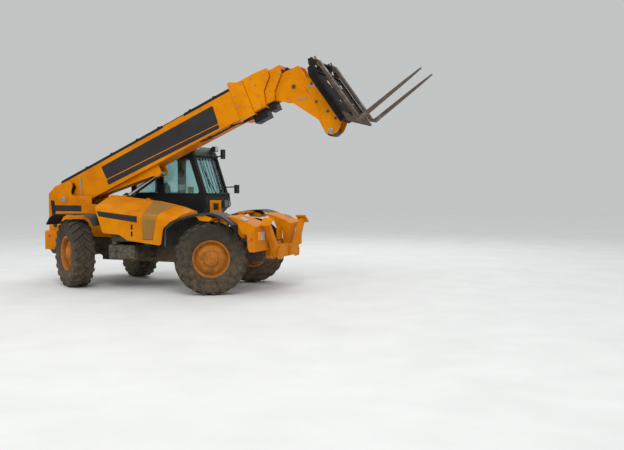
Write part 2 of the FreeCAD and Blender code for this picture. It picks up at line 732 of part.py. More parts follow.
def front_mudguard(s):
    """A moulded guard over a front wheel with its outer lip and its bracket to the frame."""
    sheet = prism_xz(guard_line(0) + guard_line(GUARD_T)[::-1], GUARD_IN, GUARD_OUT)
    lip = prism_xz(guard_line(0) + guard_line(GUARD_T + GUARD_LIP)[::-1], GUARD_OUT - GUARD_T, GUARD_OUT)
    high = TYRE_R * 2 + GUARD_LINE[3][1] - GUARD_T
    arm = box(WHEELBASE - 60, WHEELBASE + 60, RAIL_OUT - 20, GUARD_IN + 20, high - 35, high - 5)
    post = box(WHEELBASE - 60, WHEELBASE + 60, RAIL_OUT - 20, RAIL_OUT + 10, RAIL_TOP, high - 5)
    body = fuse([sheet, lip, arm, post])
    return body if s > 0 else mirrored(body)


parts["front_mudguards"] = Part.makeCompound([front_mudguard(-1), front_mudguard(1)])


def rear_mudguard(s):
    """A flat topped guard over a rear wheel, with its arm and the splash sheet behind the wheel."""
    top = TYRE_R * 2 + 95
    path = [(-TYRE_R + 80, top - 195), (-TYRE_R + 205, top, 140), (TYRE_R - 250, top, 140), (TYRE_R - 130, top - 195)]
    below = [(x, z - GUARD_T) for x, z in corner_pairs(path)]
    guard = prism_xz(corner_pairs(path) + below[::-1], GUARD_IN, 1140)
    tower_side = BOOM_Y * s + TOWER_IN + TOWER_T
    arm = box(-250, -150, tower_side, GUARD_IN + 10, top - 39, top - GUARD_T / 2)
    behind = -TYRE_R - 165
    sheet = [(behind, 930), (behind, top - 215, 60), (behind + 200, top - 25, 60), (-110, top - 25), (-110, 930)]
    splash = prism_xz(sheet, tower_side, tower_side + 6)
    body = fuse([guard, arm, splash])
    return body if s > 0 else mirrored(body)


parts["rear_mudguards"] = Part.makeCompound([rear_mudguard(-1), rear_mudguard(1)])


def front_wing(s):
    """A pressed wing ahead of a front wheel, open towards it, on a post from the frame."""
    side = [
        (TREAD_FRONT - 265, TYRE_R + 745), (TREAD_FRONT - 38, TYRE_R + 703), (TREAD_FRONT + 220, TYRE_R + 610),
        (WING_FRONT, TYRE_R + 560), (WING_FRONT, TYRE_R + 135, 20), (TREAD_FRONT + 175, TYRE_R + 135),
        (TREAD_FRONT + 160, TYRE_R + 415), (TREAD_FRONT - 243, TYRE_R + 557),
    ]
    skin = prism_xz(side, WING_IN, WING_OUT)
    skin = skin.cut(prism_face_xz(grown(side, -SHEET_T), WING_IN + SHEET_T, WING_OUT - SHEET_T))
    fan = [(WHEELBASE, TYRE_R), (WHEELBASE + 900, TYRE_R)] + guard_line(-SIDE_GAP - 1) + [(WHEELBASE - 900, TYRE_R)]
    skin = skin.cut(prism_xz(fan, WING_IN - 1, WING_OUT + 1))
    post = box(FRONT_X - 80, FRONT_X - 20, RAIL_OUT - RAIL_T, WING_IN + 2, RAIL_TOP, TYRE_R + 515)
    body = fuse([skin, post])
    return body if s > 0 else mirrored(body)




def stabiliser_beam():
    """The cross beam at the frame's front with the pivot forks of both legs."""
    pieces = [box(FRONT_X, FRONT_X + 25, -RAIL_OUT + 30, RAIL_OUT - 30, 600, 880)]
    fork_side = [(-130, -110), (70, -110, 40), (70, 70, 60), (-130, 110)]
    for s in (-1, 1):
        for x in (STAB_X - 75, STAB_X + 55):
            fork = prism_yz(fork_side, x, x + 20)
            fork = fork if s > 0 else mirrored(fork)
            fork.translate(V(0, s * STAB_PIVOT_Y, STAB_PIVOT_Z))
            pieces.append(fork)
        low, high = sorted((s * 60, s * (STAB_PIVOT_Y - 110)))
        pieces.append(box(FRONT_X, STAB_X + 75, low, high, 640, 830))
        pivot = V(STAB_X, s * STAB_PIVOT_Y, STAB_PIVOT_Z)
        pieces.append(bar(pivot - X_AXIS * 85, pivot + X_AXIS * 85, STAB_PIN_R, 12))
    return fuse(pieces)


parts["stabiliser_beam"] = stabiliser_beam()


def stabiliser_leg(s):
    """A leg that swings down about a fore-and-aft pin, with its foot plate."""
    arm = prism_yz([(-45, -60), (STAB_LENGTH, -40), (STAB_LENGTH, 40), (60, 70), (-45, 60)], -45, 45)
    knee = bar(V(-45, STAB_LENGTH - 20, 0), V(45, STAB_LENGTH - 20, 0), 45, 12)
    foot = box(-FOOT_HALF, FOOT_HALF, STAB_LENGTH + 20, STAB_LENGTH + 40, -110, 110)
    body = fuse([arm, knee, foot, box(-40, 40, STAB_LENGTH - 30, STAB_LENGTH + 25, -40, 40)])
    body = body.cut(rod(V(-50, 0, 0), V(50, 0, 0), STAB_PIN_R + PIN_GAP))
    body.rotate(V(0, 0, 0), X_AXIS, STAB_STOWED)
    body.translate(V(STAB_X, STAB_PIVOT_Y, STAB_PIVOT_Z))
    return body if s > 0 else mirrored(body)


parts["stabiliser_leg_right"] = stabiliser_leg(-1)
parts["stabiliser_leg_left"] = stabiliser_leg(1)


def lamp_bracket():
    """A square frame on a post before the cab."""
    mid = COVER_FRONT_X + 30
    frame = box(mid - 120, mid + 120, 205, 245, 1370, 1610).cut(box(mid - 65, mid + 65, 204, 246, 1425, 1555))
    post = box(mid - 30, mid + 30, 205, 245, RAIL_TOP - 20, 1380)
    return fuse([frame, post, box(mid - 40, mid + 40, 205, RAIL_OUT - RAIL_T, RAIL_TOP - 35, RAIL_TOP - 15)])


parts["front_wings"] = Part.makeCompound([front_wing(-1), front_wing(1), lamp_bracket()])


def side_tank():
    """The tank and step on the left with the cab's bearers, and the battery box on the right."""
    tank = prism_yz([(RAIL_OUT, 480), (1060, 480, 60), (1060, 790, 60), (RAIL_OUT, 790)], 790, 1760)
    steps = [box(1080, 1500, 1050, 1130, z, z + 30) for z in (500, 740)]
    bearers = [box(x, x + 130, RAIL_OUT, 1040, 780, CAB_FLOOR) for x in (800, 1500)]
    battery = prism_yz([(-1040, 560, 40), (-RAIL_OUT, 560), (-RAIL_OUT, 825), (-1040, 825, 40)], 770, 1330)
    return Part.makeCompound([fuse([tank] + steps + bearers), battery])


parts["side_tank"] = side_tank()


def work_lamps():
    """Work lamps on the roof's front edge and a lamp on the bracket before the cab."""
    lamps = []
    for y in (CAB_RIGHT + 90, CAB_LEFT - 90):
        lamp = box(1770, 1850, y - 70, y + 70, 2560, 2660)
        foot = box(1720, 1790, y - 20, y + 20, 2600, 2640)
        lamps.append(fuse([lamp, foot]).cut(prism_xz(CAB_SIDE, CAB_RIGHT, CAB_LEFT)))
    lamps.append(box(COVER_FRONT_X + 150, COVER_FRONT_X + 220, 205, 345, 1470, 1610))
    return Part.makeCompound(lamps)


parts["work_lamps"] = work_lamps()


def mirrors():
    """Two mirrors at the cab's front left corner: a low one on a forward arm and a high one beside the pillar."""
    low_foot = V(1980, CAB_LEFT - 20, 1850)
    low_end = V(2215, CAB_LEFT + 60, 1860)
    low = fuse([bar(low_foot, low_end, 12, 8), box(2200, 2240, CAB_LEFT - 20, CAB_LEFT + 130, 1730, 1900)])
    high_end = V(1890, CAB_LEFT + 110, 2500)
    high = fuse([bar(V(1780, CAB_LEFT - 20, 2440), high_end, 12, 8), box(1870, 1905, CAB_LEFT + 30, CAB_LEFT + 170, 2420, 2610)])
    cab = prism_xz(CAB_SIDE, CAB_RIGHT, CAB_LEFT)
    return Part.makeCompound([low.cut(cab), high.cut(cab)])


parts["mirrors"] = mirrors()


def tube_section(s0, s1, half_w, low, high, wall):
    """A hollow boom section along s."""
    outer = box(s0, s1, BOOM_Y - half_w, BOOM_Y + half_w, low, high)
    inner = box(s0 - 1, s1 + 1, BOOM_Y - half_w + wall, BOOM_Y + half_w - wall, low + wall, high - wall)
    return outer.cut(inner)


# Telescoping sections: half width, low, high, wall, rear end, front end
MID_ONE = (163, -193, 296, 8, 300, 4400)
MID_TWO = (138, -168, 258, 8, 450, 4700)
INNER = (113, -143, 170, 8, 600, 5130)


def boom_outer():
    """The outer boom: a box section with its tail, pivot boss, ram lugs and front collar."""
    wall = 10
    body = box(TAIL_S, 4110, BOOM_Y - OUTER_HALF_W, BOOM_Y + OUTER_HALF_W, OUTER_LOW, OUTER_HIGH)
    tail = prism_xz([
        (TAIL_S, -150, 60), (700, -230), (4200, -230), (4200, 340), (100, 340), (TAIL_S, 277, 40),
    ], -500, 500)
    body = body.common(tail)
    collar = prism_xz([
        (4090, -275), (4090, 470, 10), (4140, 470, 10), (4270, 402), (COLLAR_END, 390), (COLLAR_END, -275),
    ], BOOM_Y - 215, BOOM_Y + 215)
    hw, low, high = MID_ONE[:3]
    reach = TOWER_IN - SIDE_GAP
    boss = bar(V(0, BOOM_Y - reach, 0), V(0, BOOM_Y + reach, 0), 85, 12)
    clamp = box(CLAMP_START, CLAMP_END, BOOM_Y - 165, BOOM_Y + 135, OUTER_HIGH - 5, OUTER_HIGH + 32)
    block = box(4278, COLLAR_END, BOOM_Y - BLOCK_HALF_W, BOOM_Y + BLOCK_HALF_W, -398, -270)
    shape = fuse([body, collar, boss, clamp, block])
    inside = box(200, COLLAR_END + 1, BOOM_Y - OUTER_HALF_W + wall, BOOM_Y + OUTER_HALF_W - wall,
                 OUTER_LOW + wall, OUTER_HIGH - wall)
    shape = shape.cut(inside)
    shape = shape.cut(bar_y(0, 0, BOOM_Y - 400, BOOM_Y + 400, PIVOT_R + PIN_GAP))
    lug = prism_xz([
        (620, OUTER_LOW + 2), (LIFT_EYE_S - 130, LIFT_EYE_T - 10, 100), (LIFT_EYE_S - 50, LIFT_EYE_T - 60),
        (LIFT_EYE_S + 40, LIFT_EYE_T - 60, 30), (LIFT_EYE_S + 75, LIFT_EYE_T, 30), (LIFT_EYE_S + 70, OUTER_LOW + 2),
    ], 0, 25)
    pieces = [shape]
    for y in (BOOM_Y - LIFT_BARREL_R - 40, BOOM_Y + LIFT_BARREL_R + 15):
        cheek = lug.copy()
        cheek.translate(V(0, y, 0))
        pieces.append(cheek)
    # Wear pads at the front end, under and over the next section
    pads = [(OUTER_LOW + wall - 1, low - PIN_GAP), (high + PIN_GAP, OUTER_HIGH - wall + 1)]
    for z0, z1 in pads:
        pieces.append(box(4200, 4350, BOOM_Y - 120, BOOM_Y + 120, z0, z1))
    return fuse(pieces)


def mid_section(own, nxt, collar_points, collar_half, block_ends):
    """A telescoping section with the collar at its front, a block under it and pads for the next one."""
    half_w, low, high, wall, s0, s1 = own
    tube = box(s0, s1, BOOM_Y - half_w, BOOM_Y + half_w, low, high)
    collar = prism_xz(collar_points, BOOM_Y - collar_half, BOOM_Y + collar_half)
    start, end, bottom = block_ends
    block = box(start, end, BOOM_Y - BLOCK_HALF_W, BOOM_Y + BLOCK_HALF_W, bottom, low + wall / 2)
    shape = fuse([tube, collar, block])
    shape = shape.cut(box(s0 - 1, 6000, BOOM_Y - half_w + wall, BOOM_Y + half_w - wall, low + wall, high - wall))
    pieces = [shape]
    pads = [(low + wall - 1, nxt[1] - PIN_GAP), (nxt[2] + PIN_GAP, high - wall + 1)]
    for z0, z1 in pads:
        pieces.append(box(s1 - 220, s1 - 90, BOOM_Y - 80, BOOM_Y + 80, z0, z1))
    return fuse(pieces)


parts["boom_outer"] = on_boom(boom_outer())
parts["boom_mid_one"] = on_boom(mid_section(MID_ONE, MID_TWO, [
    (COLLAR_END + SIDE_GAP, -225), (COLLAR_END + SIDE_GAP, 400), (4623, 400), (4885, 372), (4889, 222),
    (4685, 29, 40), (4639, -146), (4619, -225),
], 200, (COLLAR_END + SIDE_GAP, 4561, -395)))
parts["boom_mid_two"] = on_boom(mid_section(MID_TWO, INNER, [
    (4630, -195), (4648, -146), (4696, 24, 40), (4900, 218), (4896, 318), (5125, 318), (5098, 165),
    (4865, -51, 40), (4804, -195),
], 172, (4630, 4769, -337)))


def boom_inner():
    """The innermost section, a plain box that carries the nose."""
    half_w, low, high, wall, s0, s1 = INNER
    return tube_section(s0, s1, half_w, low, high, wall)


def boom_nose():
    """The dropped nose: two plates with a back web, open in front for the tilt ram."""
    side = [
        (5134, 175), (5420, 158, 30), (5455, 120, 30), (5480, -160, 60), (5575, -560, 200), (5640, -1130, 100),
        (5530, -1245, 100), (5420, -1130, 60), (5395, -860, 200), (5061, -357, 60), (4925, -288), (4815, -200),
        (4878, -54, 40), (5106, 160),
    ]
    solid = prism_xz(side, BOOM_Y - 125, BOOM_Y + 125)
    room = prism_xz([
        (5140, 155), (5600, 155), (5800, -1300), (5500, -1300), (5440, -1000), (5415, -880, 150), (5075, -335, 40),
        (4940, -268), (4842, -196), (4896, -60, 40), (5124, 150),
    ], BOOM_Y - 105, BOOM_Y + 105)
    shape = solid.cut(room)
    boss = bar(V(CARRIAGE_S, BOOM_Y - 125, CARRIAGE_T), V(CARRIAGE_S, BOOM_Y + 125, CARRIAGE_T), 95, 12)
    pin = bar_y(TILT_BASE_S, TILT_BASE_T, BOOM_Y - 135, BOOM_Y + 135, TILT_PIN_R)
    shape = fuse([shape, boss, pin])
    return shape.cut(bar_y(CARRIAGE_S, CARRIAGE_T, BOOM_Y - 200, BOOM_Y + 200, CARRIAGE_PIN_R + PIN_GAP))


parts["boom_inner"] = on_boom(boom_inner())
parts["boom_nose"] = on_boom(boom_nose().cut(box(4000, INNER[5], BOOM_Y - INNER[0], BOOM_Y + INNER[0], INNER[1], INNER[2])))



def hose_tray():
    """Two runs of hose tray on the boom's top, before and behind the clamp."""
    runs = [
        [(-80, OUTER_HIGH), (CLAMP_START - 2, OUTER_HIGH), (CLAMP_START - 2, 395, 20), (-20, 395, 40)],
        [(CLAMP_END + 2, OUTER_HIGH), (4085, OUTER_HIGH), (4085, 395, 20), (CLAMP_END + 2, 395, 20)],
    ]
    cut = box(-400, 130, BOOM_Y - 400, BOOM_Y + 400, OUTER_HIGH - 100, OUTER_HIGH)
    return Part.makeCompound([prism_xz(run, BOOM_Y - 150, BOOM_Y + 120).cut(cut) for run in runs])


parts["hose_tray"] = on_boom(hose_tray())


def quick_hitch():
    """The tilting bracket that the fork frame hangs on, with the tilt ram's lever."""
    plate = [
        (-90, -60, 80), (90, -90, 80), (240, 0, 20), (240, 960, 40), (150, 1000, 60), (60, 900, 60), (70, 500, 80),
        (-80, 120, 60),
    ]
    pieces = []
    for y in (-155, 130):
        pieces.append(prism_xz(plate, BOOM_Y + y, BOOM_Y + y + 25))
    pieces.append(box(215, 240, BOOM_Y - 155, BOOM_Y + 155, 30, 950))
    pieces.append(bar_y(0, 0, BOOM_Y - 165, BOOM_Y + 165, CARRIAGE_PIN_R))
    lever = prism_xz([(230, TILT_EYE_V - 90), (230, TILT_EYE_V + 90), (-30, TILT_EYE_V + 45, 40), (-30, TILT_EYE_V - 45, 40)], 0, 16)
    for y in (-66, 50):
        cheek = lever.copy()
        cheek.translate(V(0, BOOM_Y + y, 0))
        pieces.append(cheek)
    return fuse(pieces)


parts["quick_hitch"] = on_carriage(quick_hitch())


def fork_frame():
    """The fork frame: two deep uprights, cross beams, end plates and the round shaft the forks hang on."""
    pieces = []
    upright = [(240, 0), (460, -40), (460, 960), (400, 1100, 30), (300, 1120, 30), (240, 980)]
    for y in (-215, 195):
        pieces.append(prism_xz(upright, BOOM_Y + y, BOOM_Y + y + 20))
    for v0, v1 in ((-180, -60), (820, 900)):
        pieces.append(box(440, 480, BOOM_Y - 600, BOOM_Y + 600, v0, v1))
    pieces.append(box(240, 470, BOOM_Y - 215, BOOM_Y + 215, 10, 30))
    pieces.append(box(240, 265, BOOM_Y - 215, BOOM_Y + 215, 700, 900))
    pieces.append(box(448, 460, BOOM_Y - 600, BOOM_Y + 600, -100, 860))
    for y in (-600, 580, -215, 195):
        pieces.append(prism_xz([(440, 820), (560, 960), (560, 1060), (480, 1080), (440, 1000)], BOOM_Y + y, BOOM_Y + y + 20))
    pieces.append(box(440, 480, BOOM_Y - 600, BOOM_Y - 580, -180, 900))
    pieces.append(box(440, 480, BOOM_Y + 580, BOOM_Y + 600, -180, 900))
    pieces.append(box(440, 480, BOOM_Y - 215, BOOM_Y - 195, -180, 30))
    pieces.append(box(440, 480, BOOM_Y + 195, BOOM_Y + 215, -180, 30))
    pieces.append(bar_y(SHAFT_U, SHAFT_V, BOOM_Y - 600, BOOM_Y + 600, SHAFT_R))
    return fuse(pieces)


parts["fork_frame"] = on_carriage(fork_frame())


def fork(y):
    """A pallet fork: a shank with its eye and a blade that tapers to the tip."""
    side = [
        (FORK_HEEL - FORK_T, SHAFT_V - 60), (FORK_HEEL - FORK_T, FORK_LOW + 60, 0), (FORK_HEEL - FORK_T + 60, FORK_LOW, 0),
        (FORK_TIP, FORK_LOW + FORK_T - 12, 0), (FORK_TIP, FORK_LOW + FORK_T, 0), (FORK_HEEL + 40, FORK_LOW + FORK_T, 0),
        (FORK_HEEL, FORK_LOW + FORK_T + 40, 0), (FORK_HEEL, SHAFT_V - 60),
    ]
    blade = prism_xz(side, y - FORK_W / 2, y + FORK_W / 2)
    eye = bar(V(SHAFT_U, y - FORK_W / 2, SHAFT_V), V(SHAFT_U, y + FORK_W / 2, SHAFT_V), 55, 10)
    neck = box(SHAFT_U, FORK_HEEL, y - FORK_W / 2, y + FORK_W / 2, SHAFT_V - 100, SHAFT_V - 20)
    body = fuse([blade, eye, neck])
    plan = prism_xy([(300, y - 60), (1560, y - 60), (FORK_TIP, y - 30, 20), (FORK_TIP, y + 30, 20), (1560, y + 60), (300, y + 60)], -600, 1300)
    return body.common(plan).cut(bar_y(SHAFT_U, SHAFT_V, y - 100, y + 100, SHAFT_R + PIN_GAP))


parts["forks"] = on_carriage(Part.makeCompound([fork(BOOM_Y - FORK_HALF_GAP), fork(BOOM_Y + FORK_HALF_GAP)]))


def ram(start, end, barrel_r, rod_r, pin_r, barrel_share, rod_start):
    """A hydraulic ram between two pins: the barrel with its foot eye and the rod with its own eye."""
    line = end - start
    length = line.Length
    split = length * barrel_share
    eye = pin_r * EYE_SHARE
    half = barrel_r - 12
    barrel = fuse([
        bar(V(pin_r, 0, 0), V(split, 0, 0), barrel_r, 12),
        bar(V(0, -half, 0), V(0, half, 0), eye, 10),
        bar(V(split - 60, 0, 0), V(split, 0, 0), barrel_r + 8, 12),
    ])
    barrel = barrel.cut(bar_y(0, 0, -barrel_r, barrel_r, pin_r + PIN_GAP))
    barrel = barrel.cut(bar(V(pin_r * 2 + 20, 0, 0), V(split + 1, 0, 0), rod_r + PIN_GAP, 12))
    stem = fuse([
        bar(V(rod_start, 0, 0), V(length - pin_r, 0, 0), rod_r, 12),
        bar(V(length, -half, 0), V(length, half, 0), eye, 10),
    ])
    stem = stem.cut(bar_y(length, 0, -barrel_r, barrel_r, pin_r))
    angle = math.degrees(math.atan2(line.z, line.x))
    placed = []
    for piece in (barrel, stem):
        piece.rotate(V(0, 0, 0), Y_AXIS, -angle)
        piece.translate(start)
        placed.append(piece)
    return placed


LIFT_BASE = V(LIFT_BASE_X, BOOM_Y, LIFT_BASE_Z)
LIFT_EYE = boom_point(LIFT_EYE_S, LIFT_EYE_T)
TILT_BASE = boom_point(TILT_BASE_S, TILT_BASE_T)
TILT_EYE = carriage_point(0, TILT_EYE_V)
parts["lift_ram_barrel"], parts["lift_ram_rod"] = ram(LIFT_BASE, LIFT_EYE, LIFT_BARREL_R, LIFT_ROD_R, LIFT_PIN_R, 0.62, 400)
parts["tilt_ram_barrel"], parts["tilt_ram_rod"] = ram(TILT_BASE, TILT_EYE, TILT_BARREL_R, TILT_ROD_R, TILT_PIN_R, 0.75, 110)

lows = min(shape.BoundBox.XMin for shape in parts.values())
highs = max(shape.BoundBox.XMax for shape in parts.values())
SHIFT_X = -(lows + highs) / 2
SHIFT_Z = -min(shape.BoundBox.ZMin for shape in parts.values())

if __name__ == "__main__":
    os.makedirs("parts", exist_ok=True)
    for name, shape in parts.items():
        shape.translate(V(SHIFT_X, 0, SHIFT_Z))
        shape.exportStep("parts/" + name + ".step")
        print(name, len(shape.Solids), round(shape.Volume / 1e6, 2), shape.isValid())
    print("shift", SHIFT_X, SHIFT_Z, "nodes", len(parts))
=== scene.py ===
"""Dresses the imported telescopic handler: painted plates, tyres, lamps, glass, pipes, the driver's seat, dust and mud.

Run as a script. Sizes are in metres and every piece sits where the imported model's own nodes are.
"""
import json
import math

import bmesh
import bpy
from mathutils import Matrix, Vector
from mathutils.bvhtree import BVHTree


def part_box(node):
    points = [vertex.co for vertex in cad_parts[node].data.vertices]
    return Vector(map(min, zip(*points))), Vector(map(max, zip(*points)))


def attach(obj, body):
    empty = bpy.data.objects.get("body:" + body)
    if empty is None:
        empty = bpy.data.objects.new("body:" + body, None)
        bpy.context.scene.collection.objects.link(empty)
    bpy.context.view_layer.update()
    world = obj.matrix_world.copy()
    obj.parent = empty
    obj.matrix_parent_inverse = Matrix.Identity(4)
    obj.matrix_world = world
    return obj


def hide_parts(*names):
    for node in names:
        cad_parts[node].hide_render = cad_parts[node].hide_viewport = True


bl_info = {
    "name": "Telescopic Handler Dresser",
    "version": (1, 0, 0),
    "blender": (4, 5, 0),
    "location": "View3D > Sidebar > Handler",
    "description": "Dresses a packed telescopic handler with paint, rubber, glass and mud",
    "category": "Object",
}

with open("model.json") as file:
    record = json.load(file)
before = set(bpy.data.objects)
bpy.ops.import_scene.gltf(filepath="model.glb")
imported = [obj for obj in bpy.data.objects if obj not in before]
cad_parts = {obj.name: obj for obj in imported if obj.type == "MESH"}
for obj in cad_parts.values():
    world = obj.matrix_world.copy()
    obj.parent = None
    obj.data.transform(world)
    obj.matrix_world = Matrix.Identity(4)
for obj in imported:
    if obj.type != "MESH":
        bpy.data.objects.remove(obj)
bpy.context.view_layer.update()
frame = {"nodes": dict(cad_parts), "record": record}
NODES = frame["nodes"]
BODY_OF = {node: body for body, nodes in frame["record"]["behaviour"]["bodies"].items() for node in nodes}
SLOT_OF = {item["node"]: item["material_slot"] for item in frame["record"]["subparts"]}
JOINTS = {item["name"]: item for item in frame["record"]["behaviour"]["joints"]}
WHEELS = ("front_right", "front_left", "rear_right", "rear_left")

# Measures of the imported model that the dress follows, angles in degrees
TYRE_RADIUS = 0.635
BOOM_RISE, CARRIAGE_RISE = 23.8, 36.0
BOOM_Y, BOOM_SIDE, TOWER_SIDE = -0.080, 0.190, 0.290
CAB_Y = 0.665
SCREEN_FOOT, SCREEN_LEAN = 1.7, 0.3354

# Radius that the sheet bends of a node are rolled to, and how much rounder than a plate's edge some nodes' edges are
ROLLED = {"front_mudguards": 0.110}
SOFTER = {"engine_cover": 5.0, "front_wings": 2.5, "cab_shell": 2.0, "cab_door": 2.0, "side_tank": 2.5, "mirrors": 3.0,
          "work_lamps": 2.0, "dash_console": 3.0, "counterweight": 3.0, "windscreen_guard": 0.5}

# The pads: voxel of the even mesh, how far stuffing may push the cover, and the sewn channels' half width and depth
VOXEL, STUFFING_CAP = 0.006, 0.012
CHANNEL_WIDTH, CHANNEL_DEPTH = 0.010, 0.012

# The studio: floor finish and the light of its white ceiling
FLOOR_PALE, FLOOR_STAIN = "#e6e6e3", "#dededb"
SKY, SKY_STRENGTH = "#f2f5f8", 0.80


def centre(node):
    """The middle of a node's box."""
    low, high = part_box(node)
    return (low + high) / 2


# The machine's own measures start on the ground under the rear axle's middle
REAR_X = centre("rear_axle").x
MACHINE = Matrix.Translation((REAR_X, 0.0, centre("rear_axle").z - TYRE_RADIUS))
# Along the boom: s forward from the boom's pivot, t square to it and up. On the carriage: u and v, level with the forks
BOOM = Matrix.Translation(JOINTS["boom_lift"]["pos_m"]) @ Matrix.Rotation(-math.radians(BOOM_RISE), 4, "Y")
CARRIAGE = Matrix.Translation(JOINTS["carriage_tilt"]["pos_m"]) @ Matrix.Rotation(-math.radians(CARRIAGE_RISE), 4, "Y")
BOOM.translation.y = CARRIAGE.translation.y = 0.0


def paint_value(text):
    """The linear colour of an sRGB hex value."""
    channels = []
    for start in (1, 3, 5):
        value = int(text[start:start + 2], 16) / 255
        channels.append(value / 12.92 if value <= 0.04045 else ((value + 0.055) / 1.055) ** 2.4)
    return (*channels, 1.0)


def hexed(colour):
    """The hex value of a colour property."""
    return "#" + "".join(f"{round(c * 255):02x}" for c in colour[:3])


def add(tree, kind, inputs=None, **settings):
    """One node with its settings. An input takes a number, a hex colour, a socket, or a node for its first output."""
    node = tree.nodes.new("ShaderNode" + kind)
    for name, value in settings.items():
        setattr(node, name, value)
    for key, value in (inputs or {}).items():
        if isinstance(value, bpy.types.Node):
            value = value.outputs[0]
        if isinstance(value, bpy.types.NodeSocket):
            tree.links.new(value, node.inputs[key])
        else:
            node.inputs[key].default_value = paint_value(value) if isinstance(value, str) else value
    return node


def start_material(name):
    """An empty material, its tree, and the points of the surface that its patterns lie on."""
    material = bpy.data.materials.new(name)
    material.use_nodes = True
    tree = material.node_tree
    tree.nodes.clear()
    return material, tree, add(tree, "TexCoord").outputs["Object"]


def end_material(material, inputs):
    """Ends a material with its surface shader."""
    shader = add(material.node_tree, "BsdfPrincipled", inputs)
    add(material.node_tree, "OutputMaterial", {"Surface": shader})
    return material


def weathered(name, base, shade, dust, gloss, dusty, grain_mm=1.2, grain=0.05, low_mud=1.0, shine=0.5, blotch_mm=420):
    """A finish that darkens in patches, gathers dust where it faces up and mud low on the machine."""
    material, tree, spot = start_material(name)
    facing = add(tree, "SeparateXYZ", {0: add(tree, "TexCoord").outputs["Normal"]}).outputs["Z"]
    height = add(tree, "SeparateXYZ", {0: spot}).outputs["Z"]
    # Blotches of the paint, film of dust, splashes of mud, specks and grain: size across in mm, detail, roughness
    blotch, film, splash, speck, texture = (
        add(tree, "TexNoise", {"Vector": spot, "Scale": 1000 / size, "Detail": detail, "Roughness": rough})
        for size, detail, rough in (
            (blotch_mm, 5.0, 0.6), (160, 8.0, 0.7), (90, 10.0, 0.75), (14, 3.0, 0.6), (grain_mm * 4, 2.0, 0.6)))
    # Each brought from one range to another and held there
    blotch, film, upward, low, splash, speck = (
        add(tree, "MapRange", {"Value": value, "From Min": a, "From Max": b, "To Min": c, "To Max": d})
        for value, a, b, c, d in (
            (blotch, 0.35, 0.7, 0.0, 1.0), (film, 0.3, 0.75, 0.0, 1.0), (facing, 0.25, 0.95, 0.12, 1.0),
            (height, 0.35, 1.25, low_mud, 0.0), (splash, 0.36, 0.70, 0.0, 1.0), (speck, 0.66, 0.74, 0.0, 0.5 * dusty)))
    lying = add(tree, "Math", {0: upward, 1: film}, operation="MULTIPLY")
    lying = add(tree, "Math", {0: lying, 1: dusty}, operation="MULTIPLY")
    mud = add(tree, "Math", {0: low, 1: splash}, operation="MULTIPLY")
    cover = add(tree, "Math", {0: lying, 1: mud}, operation="MAXIMUM")
    colour = base
    for amount, over in ((blotch, shade), (cover, dust), (speck, dust)):
        colour = add(tree, "Mix", {0: amount, 6: colour, 7: over}, data_type="RGBA").outputs[2]
    thick = add(tree, "Math", {0: cover, 1: 1.0}, operation="ADD")
    relief = add(tree, "Math", {0: texture, 1: thick}, operation="MULTIPLY")
    return end_material(material, {
        "Base Color": colour,
        "Roughness": add(tree, "MapRange", {"Value": cover, "To Min": gloss, "To Max": 0.92}),
        "Specular IOR Level": shine,
        "Normal": add(tree, "Bump", {"Strength": grain, "Distance": 0.002, "Height": relief}),
    })


def bright_metal(name, base, shade, gloss, streak_mm):
    """Ground or plated steel with fine drawn streaks."""
    material, tree, spot = start_material(name)
    drawn = add(tree, "Mapping", {"Vector": spot, "Scale": (0.08, 1.0, 1.0)})
    streak = add(tree, "TexNoise", {"Vector": drawn, "Scale": 1000 / streak_mm, "Detail": 4.0, "Roughness": 0.6})
    tint = add(tree, "MapRange", {"Value": streak, "From Min": 0.35, "From Max": 0.7})
    dull = add(tree, "MapRange", {"Value": streak, "From Min": 0.3, "From Max": 0.7, "To Min": gloss,
                                            "To Max": gloss + 0.15})
    colour = add(tree, "Mix", {0: tint, 6: base, 7: shade}, data_type="RGBA").outputs[2]
    return end_material(material, {"Base Color": colour, "Roughness": dull, "Metallic": 1.0})


def fork_steel(name):
    """Forged fork steel: brown mill scale and rust, rubbed bright in patches along the blade."""
    material, tree, spot = start_material(name)
    rust, worn, grain = (
        add(tree, "TexNoise", {"Vector": spot, "Scale": 1000 / size, "Detail": detail, "Roughness": rough})
        for size, detail, rough in ((60, 8.0, 0.7), (220, 6.0, 0.65), (8, 6.0, 0.6)))
    rust = add(tree, "MapRange", {"Value": rust, "From Min": 0.4, "From Max": 0.62})
    worn = add(tree, "MapRange", {"Value": worn, "From Min": 0.52, "From Max": 0.68})
    colour = "#4a4038"
    for amount, over in ((rust, "#5f4a34"), (worn, "#7a7065")):
        colour = add(tree, "Mix", {0: amount, 6: colour, 7: over}, data_type="RGBA").outputs[2]
    return end_material(material, {
        "Base Color": colour,
        "Roughness": add(tree, "MapRange", {"Value": worn, "To Min": 0.72, "To Max": 0.42}),
        "Metallic": add(tree, "MapRange", {"Value": worn, "To Min": 0.1, "To Max": 0.5}),
        "Normal": add(tree, "Bump", {"Strength": 0.2, "Distance": 0.002, "Height": grain}),
    })


def tinted_glass(name):
    """Green tinted safety glass that lets the dark cab show, with a faint film of dust."""
    material, tree, spot = start_material(name)
    film = add(tree, "TexNoise", {"Vector": spot, "Scale": 1000 / 350, "Detail": 6.0, "Roughness": 0.7})
    film = add(tree, "MapRange", {"Value": film, "From Min": 0.45, "From Max": 0.8})
    return end_material(material, {
        "Base Color": add(tree, "Mix", {0: film, 6: "#cdeef0", 7: "#b9d2cc"}, data_type="RGBA").outputs[2],
        "Roughness": add(tree, "MapRange", {"Value": film, "To Min": 0.02, "To Max": 0.12}),
        "Transmission Weight": add(tree, "MapRange", {"Value": film, "To Min": 0.97, "To Max": 0.84}),
        "IOR": 1.52,
    })


